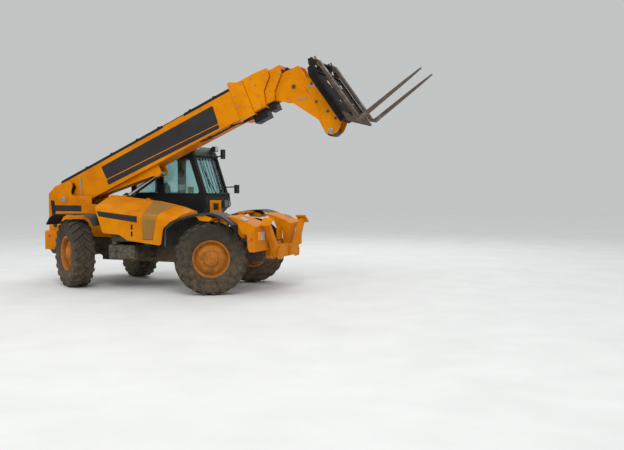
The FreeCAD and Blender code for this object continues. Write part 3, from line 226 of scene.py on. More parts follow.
def perforated(name, base, shade, hole):
    """A dusty screen of small holes punched in staggered rows, 9 mm apart."""
    material, tree, spot = start_material(name)
    blotch = add(tree, "TexNoise", {"Vector": spot, "Scale": 1000 / 300, "Detail": 5.0, "Roughness": 0.6})
    blotch = add(tree, "MapRange", {"Value": blotch, "From Min": 0.35, "From Max": 0.7})
    cells = add(tree, "TexVoronoi", {"Vector": spot, "Scale": 1000 / 9, "Randomness": 0.15}).outputs["Distance"]
    open_part = add(tree, "MapRange", {"Value": cells, "From Min": 0.30, "From Max": 0.40, "To Min": 0.55,
                                                 "To Max": 0.0})
    colour = base
    for amount, over in ((blotch, shade), (open_part, hole)):
        colour = add(tree, "Mix", {0: amount, 6: colour, 7: over}, data_type="RGBA").outputs[2]
    bump = add(tree, "Bump", {"Strength": 0.4, "Distance": 0.002, "Height": cells})
    return end_material(material, {"Base Color": colour, "Roughness": 0.75, "Normal": bump})


def lens(name, colour, glow):
    """A moulded lamp lens with prisms 60 mm apart."""
    material, tree, spot = start_material(name)
    ribs = add(tree, "TexWave", {"Vector": spot, "Scale": 1000 / 60}).outputs["Fac"]
    lit = add(tree, "MapRange", {"Value": ribs, "From Min": 0.2, "From Max": 0.8})
    return end_material(material, {
        "Base Color": add(tree, "Mix", {0: lit, 6: colour, 7: glow}, data_type="RGBA").outputs[2],
        "Roughness": 0.12,
        "Coat Weight": 1.0,
        "Normal": add(tree, "Bump", {"Strength": 0.3, "Distance": 0.001, "Height": ribs}),
    })


def woven(name, base, shade):
    """Hard wearing seat cloth with a plain weave of coarse threads."""
    material, tree, spot = start_material(name)
    warp, weft = (add(tree, "TexWave", {"Vector": spot, "Scale": 1000 / 24}, bands_direction=way).outputs["Fac"]
                  for way in ("Y", "X"))
    weave = add(tree, "Math", {0: warp, 1: weft}, operation="MULTIPLY")
    return end_material(material, {
        "Base Color": add(tree, "Mix", {0: weave, 6: base, 7: shade}, data_type="RGBA").outputs[2],
        "Roughness": 0.95,
        "Sheen Weight": 0.3,
        "Normal": add(tree, "Bump", {"Strength": 0.4, "Distance": 0.001, "Height": weave}),
    })


MATERIALS = {}


def make_materials(colours):
    """All finishes of the machine, by the record's slot or by a plain name."""
    yellow, dust, black = hexed(colours.paint), hexed(colours.dust), hexed(colours.black)
    MATERIALS.update({
        # Even warm yellow, orange in patches and greyed by dust, brown with mud near the ground
        "body_yellow": weathered("polyurethane paint on panels", yellow, "#c26a00", "#9c7434", 0.42, 0.14,
                                 low_mud=0.6, shine=0.06),
        # The same paint a little cleaner, high above the mud
        "boom_yellow": weathered("polyurethane paint on the boom", yellow, "#c46e00", "#a87f40", 0.42, 0.10,
                                 low_mud=0.0, shine=0.06),
        # Near black with a soft sheen, powdered with dust
        "black_metal": weathered("black enamel on steel", black, "#121315", dust, 0.5, 0.1, low_mud=0.7, shine=0.22),
        # Dull black rubbed brown by loads
        "carriage_enamel": weathered("scuffed enamel on the carriage", "#1b1c1e", "#2c2824", "#5a4c3a", 0.75, 0.5,
                                     low_mud=0.0, shine=0.08, blotch_mm=160),
        # Black that mostly shows as dry brown crust
        "frame_black": weathered("chassis enamel under dried mud", "#2a2624", "#3a322a", "#8a7459", 0.6, 0.9, grain=0.25),
        # Grained black moulding with a satin sheen
        "black_plastic": weathered("moulded black polypropylene", "#17181a", "#101113", dust, 0.6, 0.12, grain=0.12,
                                   low_mud=0.7, shine=0.3),
        # Dark grey moulding, pale with dust on top
        "guard_plastic": weathered("moulded polyethylene guards", "#1e1f21", "#2a2a2b", "#8f8a84", 0.6, 0.55,
                                   grain=0.15, low_mud=0.6, shine=0.35),
        # Warm dark rubber, earth in its grain
        "tyre_rubber": weathered("tyre rubber", "#2b2824", "#38322b", "#7e6d55", 0.85, 0.55, grain_mm=3, grain=0.3,
                                 low_mud=0.75, shine=0.25, blotch_mm=120),
        # Orange yellow that fades to brown where mud dried
        "rim_yellow": weathered("enamel on wheel rims", "#c6770a", "#a05c0d", "#6e563a", 0.55, 0.5, low_mud=0.85,
                                shine=0.3, blotch_mm=180),
        # Rough dark castings under earth
        "cast": weathered("painted cast iron", "#2b2a2a", "#211f1e", "#84745c", 0.6, 0.6, grain=0.4, grain_mm=3),
        # Faint green, clear enough to show the cab
        "glass": tinted_glass("tinted safety glass"),
        # Brown scale with bare shining patches
        "fork_steel": fork_steel("forged fork steel"),
        # A sharp bright rod
        "rod_chrome": bright_metal("hard chrome on ram rods", "#d9dadb", "#bfc1c2", 0.08, 6),
        # Charcoal cloth that catches light on its threads
        "seat_fabric": woven("woven seat cloth", "#232428", "#3a3b40"),
        # Black pipe with a thin dust film
        "hose_rubber": weathered("painted hydraulic pipe", "#151617", "#1f1f20", dust, 0.55, 0.15, grain=0.2, shine=0.35),
        # Small bright points of bolts and keepers
        "zinc": bright_metal("zinc plated fittings", "#b9b6a4", "#8f8d82", 0.35, 10),
        # A painted highlight: a thin pale line along the shank edges, where they catch light
        "edge_highlight": bright_metal("steel painted with an edge highlight", "#8f8575", "#5c5246", 0.55, 10),
        # Grey, dark, red and amber lenses with a wet gloss
        "lens_clear": lens("clear lamp lens", "#9ba09d", "#b9bdba"),
        "lens_smoked": lens("smoked lamp lens", "#2c2e30", "#3d4042"),
        "lens_red": lens("red reflector lens", "#a3140c", "#d6281b"),
        "lens_amber": lens("amber lamp lens", "#e07b08", "#ffa226"),
        # A clean mirror
        "mirror_glass": bright_metal("silvered mirror glass", "#e9eef0", "#e3e8ea", 0.02, 30),
        # Smooth brown black where a maker's panels would be
        "dark_panel": weathered("dark vinyl panel", "#282425", "#1f1c1d", dust, 0.4, 0.08, low_mud=0.2, shine=0.3),
        # Dusty yellow peppered with dark holes
        "screen": perforated("dusty radiator screen", "#a8710f", "#8f6a30", "#3f2e10"),
        # Steel that shows as dry mud only
        "dirty_steel": weathered("steel under dried mud", "#3a2e25", "#54402d", "#7d6547", 0.75, 0.9, grain=0.35,
                                 grain_mm=3),
        # Flat pale and olive card behind the window
        "card_pale": weathered("blank pale card", "#c9cbc6", "#bcbdb8", "#d0cdc2", 0.6, 0.2, low_mud=0.0),
        "card_green": weathered("blank green card", "#8f9a4a", "#87903f", "#a5a466", 0.6, 0.2, low_mud=0.0),
    })


def rounded(points, chords=5):
    """The corners of an outline, each (a, b) or (a, b, radius), with its roundings walked in chords."""
    run = []
    for index, point in enumerate(points):
        here = Vector(point[:2])
        if len(point) < 3:
            run.append(here)
            continue
        before = (Vector(points[index - 1][:2]) - here).normalized()
        after = (Vector(points[(index + 1) % len(points)][:2]) - here).normalized()
        half = before.angle(after) / 2
        middle = here + (before + after).normalized() * point[2] / math.sin(half)
        start = here + before * point[2] / math.tan(half) - middle
        turn = start.angle_signed(here + after * point[2] / math.tan(half) - middle)
        for step in range(chords + 1):
            run.append(middle + Matrix.Rotation(-turn * step / chords, 2) @ start)
    return run


def rounded_box(a0, a1, b0, b1, radius):
    """The outline of a rectangle with rounded corners."""
    return rounded([(a0, b0, radius), (a1, b0, radius), (a1, b1, radius), (a0, b1, radius)])


def prism(bm, points, low, high, place=MACHINE, along="y"):
    """An outline drawn out between two levels: (x, z) along y, or (y, z) along x."""
    outline = [(p[0], low, p[1]) if along == "y" else (low, p[0], p[1]) for p in points]
    end = bm.faces.new([bm.verts.new(place @ Vector(corner)) for corner in outline])
    drawn = bmesh.ops.extrude_face_region(bm, geom=[end])["geom"]
    step = Vector((0, high - low, 0) if along == "y" else (high - low, 0, 0))
    corners = [item for item in drawn if isinstance(item, bmesh.types.BMVert)]
    bmesh.ops.translate(bm, vec=place.to_3x3() @ step, verts=corners)


def slab(bm, x0, x1, y0, y1, z0, z1, place=MACHINE):
    """A flat sided block between two corners."""
    prism(bm, [(x0, z0), (x1, z0), (x1, z1), (x0, z1)], y0, y1, place)


def skin(bm, rings, closed):
    """Faces between each ring of corners and the next."""
    for first, second in zip(rings, rings[1:]):
        count = len(first)
        for k in range(count if closed else count - 1):
            n = (k + 1) % count
            bm.faces.new((first[k], first[n], second[n], second[k]))


def tube(bm, path, radius, sides=10, closed=False, place=MACHINE):
    """A round bar along a path, its radius one number or one for each point."""
    path = [place @ Vector(point) for point in path]
    radii = radius if isinstance(radius, (list, tuple)) else [radius] * len(path)
    across, rings = None, []
    for index, point in enumerate(path):
        before = path[index - 1] if index or closed else point
        after = path[(index + 1) % len(path)] if index < len(path) - 1 or closed else point
        line = (after - before).normalized()
        across = (across - line * across.dot(line)).normalized() if across else line.orthogonal().normalized()
        other = line.cross(across)
        turns = [math.tau * k / sides for k in range(sides)]
        rings.append([bm.verts.new(point + (across * math.cos(a) + other * math.sin(a)) * radii[index]) for a in turns])
    if closed:
        rings.append(rings[0])
    else:
        bm.faces.new(rings[0][::-1])
        bm.faces.new(rings[-1])
    skin(bm, rings, closed=True)


def bolt(bm, place, start, away, size=0.012):
    """A hexagon head on a washer, standing away from a face."""
    start, away = Vector(start), Vector(away).normalized()
    tube(bm, [start, start + away * size * 0.25], size * 1.25, 16, place=place)
    tube(bm, [start + away * size * 0.25, start + away * size * 0.95], size, 6, place=place)


def pin_head(bm, place, start, away, radius, height):
    """A pin's end with a turned edge and a keeper."""
    start, away = Vector(start), Vector(away).normalized()
    levels = ((0.0, 1.0), (0.7, 1.0), (0.92, 0.9), (1.0, 0.78))
    path = [start + away * height * level for level, _ in levels]
    tube(bm, path, [radius * part for _, part in levels], 28, place=place)


def spun(bm, profile, centre_at, axis, count=96):
    """A closed profile of (radius, distance out) spun about an axis."""
    axis = axis.normalized()
    spoke = axis.orthogonal().normalized()
    others = set(bm.verts)
    ring = [bm.verts.new(spoke * r + axis * out) for r, out in profile]
    edges = [bm.edges.new((ring[k - 1], ring[k])) for k in range(len(ring)) if profile[k - 1][0] or profile[k][0]]
    bmesh.ops.spin(bm, geom=ring + edges, cent=(0, 0, 0), axis=axis, angle=math.tau, steps=count, use_merge=True)
    fresh = [vert for vert in bm.verts if vert not in others]
    bmesh.ops.translate(bm, vec=centre_at, verts=fresh)
    bmesh.ops.remove_doubles(bm, verts=fresh, dist=1e-5)


def finish_piece(bm, name, body, slot, material=None, bevel=0.0, smooth=35.0, replaces=(), second=None):
    """A mesh made into a piece that rides on a body, with softened edges and a second finish where a rule says."""
    bmesh.ops.recalc_face_normals(bm, faces=bm.faces)
    mesh = bpy.data.meshes.new(name)
    bm.to_mesh(mesh)
    bm.free()
    mesh.shade_smooth()
    mesh.set_sharp_from_angle(angle=math.radians(smooth))
    piece = bpy.data.objects.new(name, mesh)
    bpy.context.scene.collection.objects.link(piece)
    mesh.materials.append(MATERIALS[material or slot])
    if second:
        mesh.materials.append(MATERIALS[second])
    if bevel:
        edge = piece.modifiers.new("softened edges", "BEVEL")
        edge.width, edge.segments, edge.limit_method = bevel, 2, "ANGLE"
        edge.angle_limit, edge.harden_normals = math.radians(32), True
    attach(piece, body)
    if replaces:
        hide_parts(*replaces)
    return piece


def dressed(node, bevel=0.004, smooth=35.0, material=None, second=None, cuts=(), bend=0.0):
    """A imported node's own form with merged faces, rolled bends and softened edges, standing for it."""
    bm = bmesh.new()
    bm.from_mesh(NODES[node].data)
    bmesh.ops.remove_doubles(bm, verts=bm.verts, dist=1e-5)
    for place, point, normal in cuts:
        plane = place.to_3x3() @ Vector(normal)
        geometry = bm.verts[:] + bm.edges[:] + bm.faces[:]
        bmesh.ops.bisect_plane(bm, geom=geometry, plane_co=place @ Vector(point), plane_no=plane)
    if second:
        for face in bm.faces:
            face.material_index = int(second[1](face.calc_center_median()))
    bmesh.ops.dissolve_limit(bm, angle_limit=math.radians(0.6), verts=bm.verts, edges=bm.edges, delimit={"MATERIAL"})
    if bend:
        # The bends of a sheet run across the machine
        ridges = [edge for edge in bm.edges if len(edge.link_faces) == 2 and edge.calc_length() > 0.2
                  and abs((edge.verts[0].co - edge.verts[1].co).normalized().y) > 0.99
                  and math.radians(8) < edge.calc_face_angle(0.0) < math.radians(60)]
        bmesh.ops.bevel(bm, geom=ridges, offset=bend, offset_type="OFFSET", segments=5, profile=0.5, affect="EDGES",
                        material=-1, clamp_overlap=True)
    return finish_piece(bm, "dress_" + node, BODY_OF[node], SLOT_OF[node], material, bevel, smooth, [node],
                        second and second[0])


class HandlerColours(bpy.types.PropertyGroup):
    """Colours that a user would change."""
    paint: bpy.props.FloatVectorProperty(
        name="Paint", description="Paint of the panels and the boom", subtype="COLOR_GAMMA", size=3,
        default=(0.86, 0.525, 0.0), min=0, max=1)
    black: bpy.props.FloatVectorProperty(
        name="Enamel", description="Enamel of the cab and brackets", subtype="COLOR_GAMMA", size=3,
        default=(0.085, 0.09, 0.10), min=0, max=1)
    dust: bpy.props.FloatVectorProperty(
        name="Dust", description="Site dust lying on the machine", subtype="COLOR_GAMMA", size=3,
        default=(0.66, 0.60, 0.50), min=0, max=1)


class HandlerSizes(bpy.types.PropertyGroup):
    """Sizes that a user would change."""
    edge: bpy.props.FloatProperty(
        name="Plate edges", description="Radius that plate edges are softened by", unit="LENGTH",
        default=0.004, min=0.0005, max=0.02)
    lugs: bpy.props.IntProperty(
        name="Lugs a side", description="Slanting lugs on each half of a tyre", default=22, min=8, max=40)


class HANDLER_OT_dress_nodes(bpy.types.Operator):
    """Softens the edges of every plain node and gives it its finish"""
    bl_idname = "handler.dress_nodes"
    bl_label = "Dress the plain nodes"

    def execute(self, context):
        edge = context.scene.handler_sizes.edge
        on_boom, on_carriage = BOOM.inverted(), CARRIAGE.inverted()
        # Second finishes: node, finish, and the rule that says where
        second = {
            "boom_outer": ("black_metal", lambda spot: (on_boom @ spot).x > 4.2 and (on_boom @ spot).z < -0.274),
            "boom_mid_one": ("black_metal", lambda spot: (on_boom @ spot).x < 4.6 and (on_boom @ spot).z < -0.23),
            "boom_mid_two": ("black_metal", lambda spot: (on_boom @ spot).x < 4.8 and (on_boom @ spot).z < -0.2),
            "boom_nose": ("cast", lambda spot: (on_boom @ spot).z < -1.12),
            "fork_frame": ("dirty_steel", lambda spot: (on_carriage @ spot).z < 0.0),
            "front_mudguards": ("body_yellow", lambda spot: abs(spot.y) < 0.74),
            "rear_mudguards": ("body_yellow", lambda spot: abs(spot.y) < 0.74),
        }
        cuts = {"boom_nose": [(BOOM, (0, 0, -1.12), (0, 0, 1))], "fork_frame": [(CARRIAGE, (0, 0, 0), (0, 0, 1))]}
        own = {"operator_seat"} | {kind + "_" + wheel for wheel in WHEELS for kind in ("tyre", "rim")}
        for node in sorted(set(NODES) - own):
            width = 0.0 if SLOT_OF[node] == "glass" else edge * SOFTER.get(node, 1.0)
            scuffed = node in ("fork_frame", "quick_hitch") and SLOT_OF[node] == "black_metal"
            dressed(node, width, material="carriage_enamel" if scuffed else None, second=second.get(node),
                    cuts=cuts.get(node, ()), bend=ROLLED.get(node, 0.0))
        return {"FINISHED"}


class HANDLER_OT_wheels(bpy.types.Operator):
    """Spins each tyre with its carcass, ribs and slanting lugs, and each rim with its dish, hub and nuts"""
    bl_idname = "handler.wheels"
    bl_label = "Make the wheels"

    def execute(self, context):
        lugs = context.scene.handler_sizes.lugs
        for wheel in WHEELS:
            joint = JOINTS["roll_" + wheel]
            middle, axis = Vector(joint["pos_m"]), Vector(joint["axis"]).normalized()
            out = axis if "left" in wheel else -axis
            self.tyre(wheel, middle, axis, lugs)
            self.rim(wheel, middle, out)
        return {"FINISHED"}

    def tyre(self, wheel, middle, axis, lugs):
        """A carcass with beads and ribs, and two rows of lugs that end on the ground."""
        reach = middle.z
        # Half of the carcass from the bead to the tread's middle: radius, distance out
        half = [
            (0.3060, 0.149), (0.318, 0.158), (0.336, 0.166), (0.340, 0.171), (0.350, 0.171), (0.354, 0.168),
            (0.380, 0.177), (0.425, 0.188), (0.470, 0.1925), (0.474, 0.1945), (0.486, 0.1945), (0.490, 0.1925),
            (0.530, 0.190), (0.560, 0.184), (0.580, 0.172), (0.592, 0.150), (0.597, 0.110), (0.599, 0.055), (0.600, 0.0),
        ]
        bm = bmesh.new()
        spun(bm, half + [(r, -w) for r, w in half[-2::-1]], middle, axis)
        up = Vector((0, 0, 1))
        forward = axis.cross(up).normalized()
        # A lug from the tread's middle to the sidewall: angle, foot radius and offset, top radius and offset, width
        steps = [
            (-0.020, 0.592, -0.012, reach, -0.012, 0.050), (0.070, 0.592, 0.045, reach, 0.045, 0.045),
            (0.145, 0.590, 0.100, reach - 0.001, 0.100, 0.045), (0.195, 0.584, 0.145, reach - 0.004, 0.150, 0.049),
            (0.222, 0.572, 0.165, reach - 0.013, 0.180, 0.055), (0.234, 0.556, 0.176, 0.588, 0.1935, 0.058),
            (0.238, 0.535, 0.184, 0.548, 0.1935, 0.050),
        ]
        for k in range(lugs):
            for side in (-1, 1):
                lead = math.tau * (k + (0.5 if side > 0 else 0.0)) / lugs
                rings = []
                for angle, foot_r, foot_y, top_r, top_y, width in steps:
                    spoke = up * math.cos(lead + angle) + forward * math.sin(lead + angle)
                    along = forward * math.cos(lead + angle) - up * math.sin(lead + angle)
                    rings.append([bm.verts.new(middle + spoke * r + axis * (y * side) + along * w) for r, y, w in (
                        (foot_r, foot_y, -width / 2 - 0.008), (top_r, top_y, -width / 2),
                        (top_r, top_y, width / 2), (foot_r, foot_y, width / 2 + 0.008))])
                bm.faces.new(rings[0])
                bm.faces.new(rings[-1][::-1])
                skin(bm, rings, closed=True)
        finish_piece(bm, "lugged_tyre_" + wheel, "wheel_" + wheel, "tyre_rubber", bevel=0.004, replaces=["tyre_" + wheel])

    def rim(self, wheel, middle, out):
        """A pressed rim with its well, the dish welded in it, the hub, wheel nuts and a valve."""
        # Outer flange, well, dish and hub, then back along the inside to the inner flange: radius, distance out
        profile = [
            (0.3205, 0.165), (0.3205, 0.160), (0.310, 0.158), (0.304, 0.150), (0.293, 0.146), (0.289, 0.125),
            (0.289, 0.058), (0.283, 0.050), (0.262, 0.058), (0.222, 0.085), (0.205, 0.092), (0.150, 0.092),
            (0.134, 0.094), (0.131, 0.112), (0.124, 0.128), (0.100, 0.136), (0.078, 0.139), (0.074, 0.147),
            (0.060, 0.150), (0.0, 0.150), (0.0, 0.1385), (0.0405, 0.1385), (0.0405, 0.070), (0.205, 0.070),
            (0.289, 0.030), (0.289, -0.165), (0.3205, -0.165), (0.3205, -0.151), (0.305, -0.149), (0.305, 0.149),
            (0.312, 0.151),
        ]
        bm = bmesh.new()
        spun(bm, profile, middle, out)
        across = Vector((0, 0, 1))
        other = out.cross(across)
        still = Matrix.Identity(4)
        # Wheel nuts on the dish and cap screws on the hub: count, circle's radius, level, size
        for count, radius, level, size in ((10, 0.172, 0.0915, 0.016), (12, 0.112, 0.131, 0.008)):
            for k in range(count):
                turn = math.tau * (k + 0.5) / count
                foot = middle + (across * math.cos(turn) + other * math.sin(turn)) * radius + out * level
                bolt(bm, still, foot, out, size)
        stem = middle + across * 0.270 + out * 0.06
        tube(bm, [stem, stem + out * 0.03 - across * 0.012, stem + out * 0.05 - across * 0.016], 0.005, 10, place=still)
        finish_piece(bm, "pressed_rim_" + wheel, "wheel_" + wheel, "rim_yellow", bevel=0.0015, replaces=["rim_" + wheel])


class HANDLER_OT_boom_trim(bpy.types.Operator):
    """Adds the boom's blank panels, a black sheet of painted shade by the tail, the tail's strap, pipes in clips,
    bolts, pins and nose roller
    """
    bl_idname = "handler.boom_trim"
    bl_label = "Trim the boom"

    def execute(self, context):
        right, left = BOOM_Y - BOOM_SIDE, BOOM_Y + BOOM_SIDE
        bm = bmesh.new()
        long_panel = [(0.996, 0.245, 0.03), (3.665, 0.245, 0.03), (3.640, -0.098, 0.03), (1.010, -0.020, 0.03)]
        low_stripe = [(1.006, -0.036, 0.02), (3.640, -0.113, 0.02), (3.625, -0.185, 0.02), (1.004, -0.141, 0.02)]
        for low, high in ((right - 0.0018, right + 0.001), (left - 0.001, left + 0.0018)):
            for outline in (long_panel, low_stripe):
                prism(bm, rounded(outline), low, high, BOOM)
        finish_piece(bm, "boom_blank_panels", "boom", "black_plastic", "dark_panel")
        # A black sheet on the boom's tail by the pivot, a painted shade for the dark gap there, and the tail's flat
        # strap
        bm = bmesh.new()
        shaded_gap = [(0.268, 0.262, 0.03), (0.180, 0.185, 0.04), (0.110, 0.060, 0.03), (0.175, 0.030, 0.02),
                   (0.290, 0.130, 0.03)]
        prism(bm, rounded(shaded_gap), right - 0.003, right + 0.002, BOOM)
        finish_piece(bm, "tail_gap_shade", "boom", "black_plastic", bevel=0.001)
        bm = bmesh.new()
        strap = BOOM @ Matrix.Translation((0.399, 0.0, 0.077)) @ Matrix.Rotation(math.radians(16.5), 4, "Y")
        slab(bm, -0.016, 0.016, right - 0.009, right + 0.001, -0.205, 0.205, strap)
        for z in (-0.180, 0.180):
            bolt(bm, strap, (0, right - 0.009, z), (0, -1, 0), 0.010)
        finish_piece(bm, "tail_strap", "boom", "black_metal", "zinc", bevel=0.002)
        self.pipes()
        self.bolts()
        return {"FINISHED"}

    def pipes(self):
        """Steel pipes along the tray and under the boom, and their clips."""
        bm = bmesh.new()
        for offset in (-0.060, -0.020, 0.020):
            path = [(s, BOOM_Y + offset, t) for s, t in ((0.30, 0.399), (0.45, 0.4045), (4.00, 0.4045))]
            tube(bm, path, 0.009, 10, place=BOOM)
        for y in (BOOM_Y - 0.150, BOOM_Y - 0.115):
            path = [(s, y, t) for s, t in (
                (3.15, -0.225), (3.28, -0.248), (3.95, -0.252), (4.06, -0.285), (4.20, -0.292), (4.27, -0.30))]
            tube(bm, path, 0.010, 12, place=BOOM)
        finish_piece(bm, "boom_pipes", "boom", "black_metal", "hose_rubber")
        bm = bmesh.new()
        for s in (0.62, 1.26, 1.90, 2.42, 3.16, 3.70):
            slab(bm, s, s + 0.045, BOOM_Y - 0.152, BOOM_Y + 0.122, 0.3905, 0.4075, BOOM)
        for s in (3.34, 3.84):
            slab(bm, s, s + 0.040, BOOM_Y - 0.172, BOOM_Y - 0.092, -0.262, -0.228, BOOM)
        finish_piece(bm, "pipe_clips", "boom", "black_metal", bevel=0.003)

    def bolts(self):
        """Bolt heads on the collars, nipples and pin keepers on the sections, and the roller on the nose."""
        # Body, side from the middle, then rows of (s, t, size)
        rows = [
            ("boom", 0.215, [
                (4.13, 0.40, 0.013), (4.13, 0.20, 0.013), (4.13, 0.0, 0.013), (4.13, -0.22, 0.013),
                (4.33, 0.34, 0.013), (4.33, 0.12, 0.013), (4.33, -0.10, 0.013), (4.33, -0.235, 0.013)]),
            ("section_one", 0.200, [
                (4.54, 0.339, 0.016), (4.58, 0.20, 0.012), (4.56, 0.0, 0.012), (4.56, -0.18, 0.012), (4.80, 0.30, 0.012)]),
            ("section_two", 0.172, [
                (4.95, 0.27, 0.012), (5.04, 0.18, 0.012), (4.78, -0.02, 0.012), (4.72, -0.15, 0.012)]),
            ("section_three", 0.125, [
                (5.35, 0.11, 0.010), (5.22, 0.11, 0.010), (5.44, -0.42, 0.010), (5.03, -0.26, 0.010)]),
        ]
        for body, reach, places in rows:
            bm = bmesh.new()
            for away in (-1, 1):
                for s, t, size in places:
                    bolt(bm, BOOM, (s, BOOM_Y + away * (reach - 0.001), t), (0, away, 0), size)
            finish_piece(bm, "bolt_heads_" + body, body, "black_metal", "zinc", bevel=0.001)
        bm = bmesh.new()
        for away in (-1, 1):
            for s, t, level, radius in ((5.208, -0.136, 0.134, 0.036), (5.530, -1.130, 0.124, 0.058)):
                pin_head(bm, BOOM, (s, BOOM_Y + away * level, t), (0, away, 0), radius, 0.016)
        finish_piece(bm, "nose_pin_heads", "section_three", "black_metal", "dirty_steel", bevel=0.001)
        bm = bmesh.new()
        for away in (-1, 1):
            prism(bm, rounded([(5.17, -0.352, 0.014), (5.365, -0.42, 0.014), (5.375, -0.452, 0.014), (5.16, -0.384, 0.014)]),
                  BOOM_Y + away * 0.124, BOOM_Y + away * 0.131, BOOM)
        finish_piece(bm, "pin_keepers", "section_three", "black_metal", "zinc", bevel=0.001)
        bm = bmesh.new()
        profile = [(0.0, -0.075), (0.030, -0.075), (0.043, -0.065), (0.036, -0.02),
                   (0.036, 0.02), (0.043, 0.065), (0.030, 0.075), (0.0, 0.075)]
        spun(bm, profile, BOOM @ Vector((5.19, BOOM_Y, 0.205)), Vector((0, 1, 0)), 40)
        for away in (-1, 1):
            slab(bm, 5.165, 5.215, BOOM_Y + away * 0.082, BOOM_Y + away * 0.092, 0.165, 0.235, BOOM)
        finish_piece(bm, "nose_roller", "section_three", "black_plastic", bevel=0.002)


class HANDLER_OT_panels(bpy.types.Operator):
    """Lays the bonnet's screen, blank band and latches, and the tower's blank plates, the painted shade in its slot, a
    flap, caps and bolts
    """
    bl_idname = "handler.panels"
    bl_label = "Trim the panels"

    def execute(self, context):
        mesh = NODES["engine_cover"].data
        tree = BVHTree.FromPolygons([v.co.copy() for v in mesh.vertices], [list(f.vertices) for f in mesh.polygons])

        def sheet(name, slot, material, rows, lift, depth):
            """A thin sheet laid on the bonnet over a grid of rays, each row a list of (from, towards)."""
            bm = bmesh.new()
            rings = []
            for row in rows:
                ring = []
                for start, target in row:
                    start, target = MACHINE @ Vector(start), MACHINE @ Vector(target)
                    hit = tree.ray_cast(start, (target - start).normalized())
                    ring.append(bm.verts.new(hit[0] + hit[1] * lift))
                rings.append(ring)
            skin(bm, rings, closed=False)
            piece = finish_piece(bm, name, "bonnet", slot, material, smooth=60)
            body = piece.modifiers.new("sheet", "SOLIDIFY")
            body.thickness, body.offset = depth, -1.0

        # The screen over the radiator climbs the side and leans back over the shoulder to the crest
        rows, shoulder, last = [], 13, 32
        for k in range(last + 1):
            angle = math.radians(-7 + 89 * k / last)
            below = min(k, shoulder) / shoulder
            above = max(0, k - shoulder) / (last - shoulder)
            left = 1.554 - 0.008 * below - 0.094 * above ** 2
            right = 1.767 + 0.063 * below + 0.094 * above
            rows.append([((x, -0.55 - 2.0 * math.cos(angle), 1.0 + 2.0 * math.sin(angle)), (x, -0.55, 1.0))
                         for x in (left + (right - left) * n / 14 for n in range(15))])
        sheet("radiator_screen", "body_yellow", "screen", rows, 0.004, 0.004)
        # The blank band runs along the side between two slanting edges
        rows = []
        for k in range(7):
            low = Vector((0.628, -1.13, 1.331)).lerp(Vector((0.579, -1.13, 1.428)), k / 6)
            high = Vector((1.437, -1.13, 1.232)).lerp(Vector((1.438, -1.13, 1.343)), k / 6)
            points = [low.lerp(high, n / 20) for n in range(21)]
            rows.append([((p.x, -3.0, p.z), (p.x, -0.5, p.z)) for p in points])
        sheet("bonnet_blank_band", "body_yellow", "dark_panel", rows, 0.002, 0.002)
        bm = bmesh.new()
        for z in (1.150, 1.030):
            prism(bm, rounded_box(1.305, 1.345, z - 0.045, z + 0.045, 0.012), -1.1225, -1.110)
            tube(bm, [(1.325, -1.122, z + 0.022), (1.325, -1.134, z + 0.018), (1.325, -1.134, z - 0.024)], 0.006, 8)
        finish_piece(bm, "bonnet_latches", "bonnet", "black_plastic", bevel=0.002)
        self.tower()
        return {"FINISHED"}

    def tower(self):
        """The pivot plates' blank badges, a black sheet of painted shade in the right plate's slot, a small flap, caps
        and bolts, and the brackets of the front guards.
        """
        right, left = BOOM_Y - TOWER_SIDE, BOOM_Y + TOWER_SIDE
        bm = bmesh.new()
        for level, away in ((right, -1), (left, 1)):
            low, high = sorted((level - away * 0.001, level + away * 0.003))
            prism(bm, rounded_box(-1.000, -0.354, 1.385, 1.500, 0.012), low, high)
        finish_piece(bm, "tower_blank_plates", "chassis", "black_plastic", "dark_panel")
        # A black sheet inside the slot of the right pivot plate, a painted shade for the dark inside seen through it,
        # and a small flap forward by the bonnet
        bm = bmesh.new()
        prism(bm, rounded([(-1.100, 1.595, 0.02), (-1.010, 1.595, 0.02), (-0.945, 1.065, 0.02), (-1.030, 1.065, 0.02)]),
              right + 0.004, right + 0.012)
        prism(bm, rounded([(-0.012, 1.610, 0.02), (0.060, 1.610, 0.02), (0.060, 1.545, 0.02), (-0.012, 1.520, 0.02)]),
              right - 0.003, right + 0.01)
        finish_piece(bm, "tower_slot_shade_and_flap", "chassis", "black_plastic", bevel=0.001)
        bm = bmesh.new()
        cap_x, cap_z, circle = -0.761, 1.619, 0.075
        for away, face in ((-1, right - 0.008), (1, left + 0.008)):
            pin_head(bm, MACHINE, (cap_x, face, cap_z), (0, away, 0), 0.052, 0.014)
            for turn in (math.tau * k / 6 for k in range(6)):
                foot = (cap_x + circle * math.cos(turn), face, cap_z + circle * math.sin(turn))
                bolt(bm, MACHINE, foot, (0, away, 0), 0.008)
        bolt(bm, MACHINE, (-0.30, right, 1.62), (0, -1, 0), 0.012)
        finish_piece(bm, "pivot_cap_bolts", "chassis", "black_metal", "zinc", bevel=0.001)
        bm = bmesh.new()
        for away in (-1, 1):
            points = [(2.640, 1.365, 0.01), (2.700, 1.290, 0.02), (2.880, 1.275, 0.02), (2.960, 1.330, 0.01),
                      (2.800, 1.385), (2.700, 1.390)]
            low, high = sorted((away * 0.80, away * 1.128))
            prism(bm, rounded(points), low, high)
        finish_piece(bm, "guard_brackets", "chassis", "body_yellow", bevel=0.004)


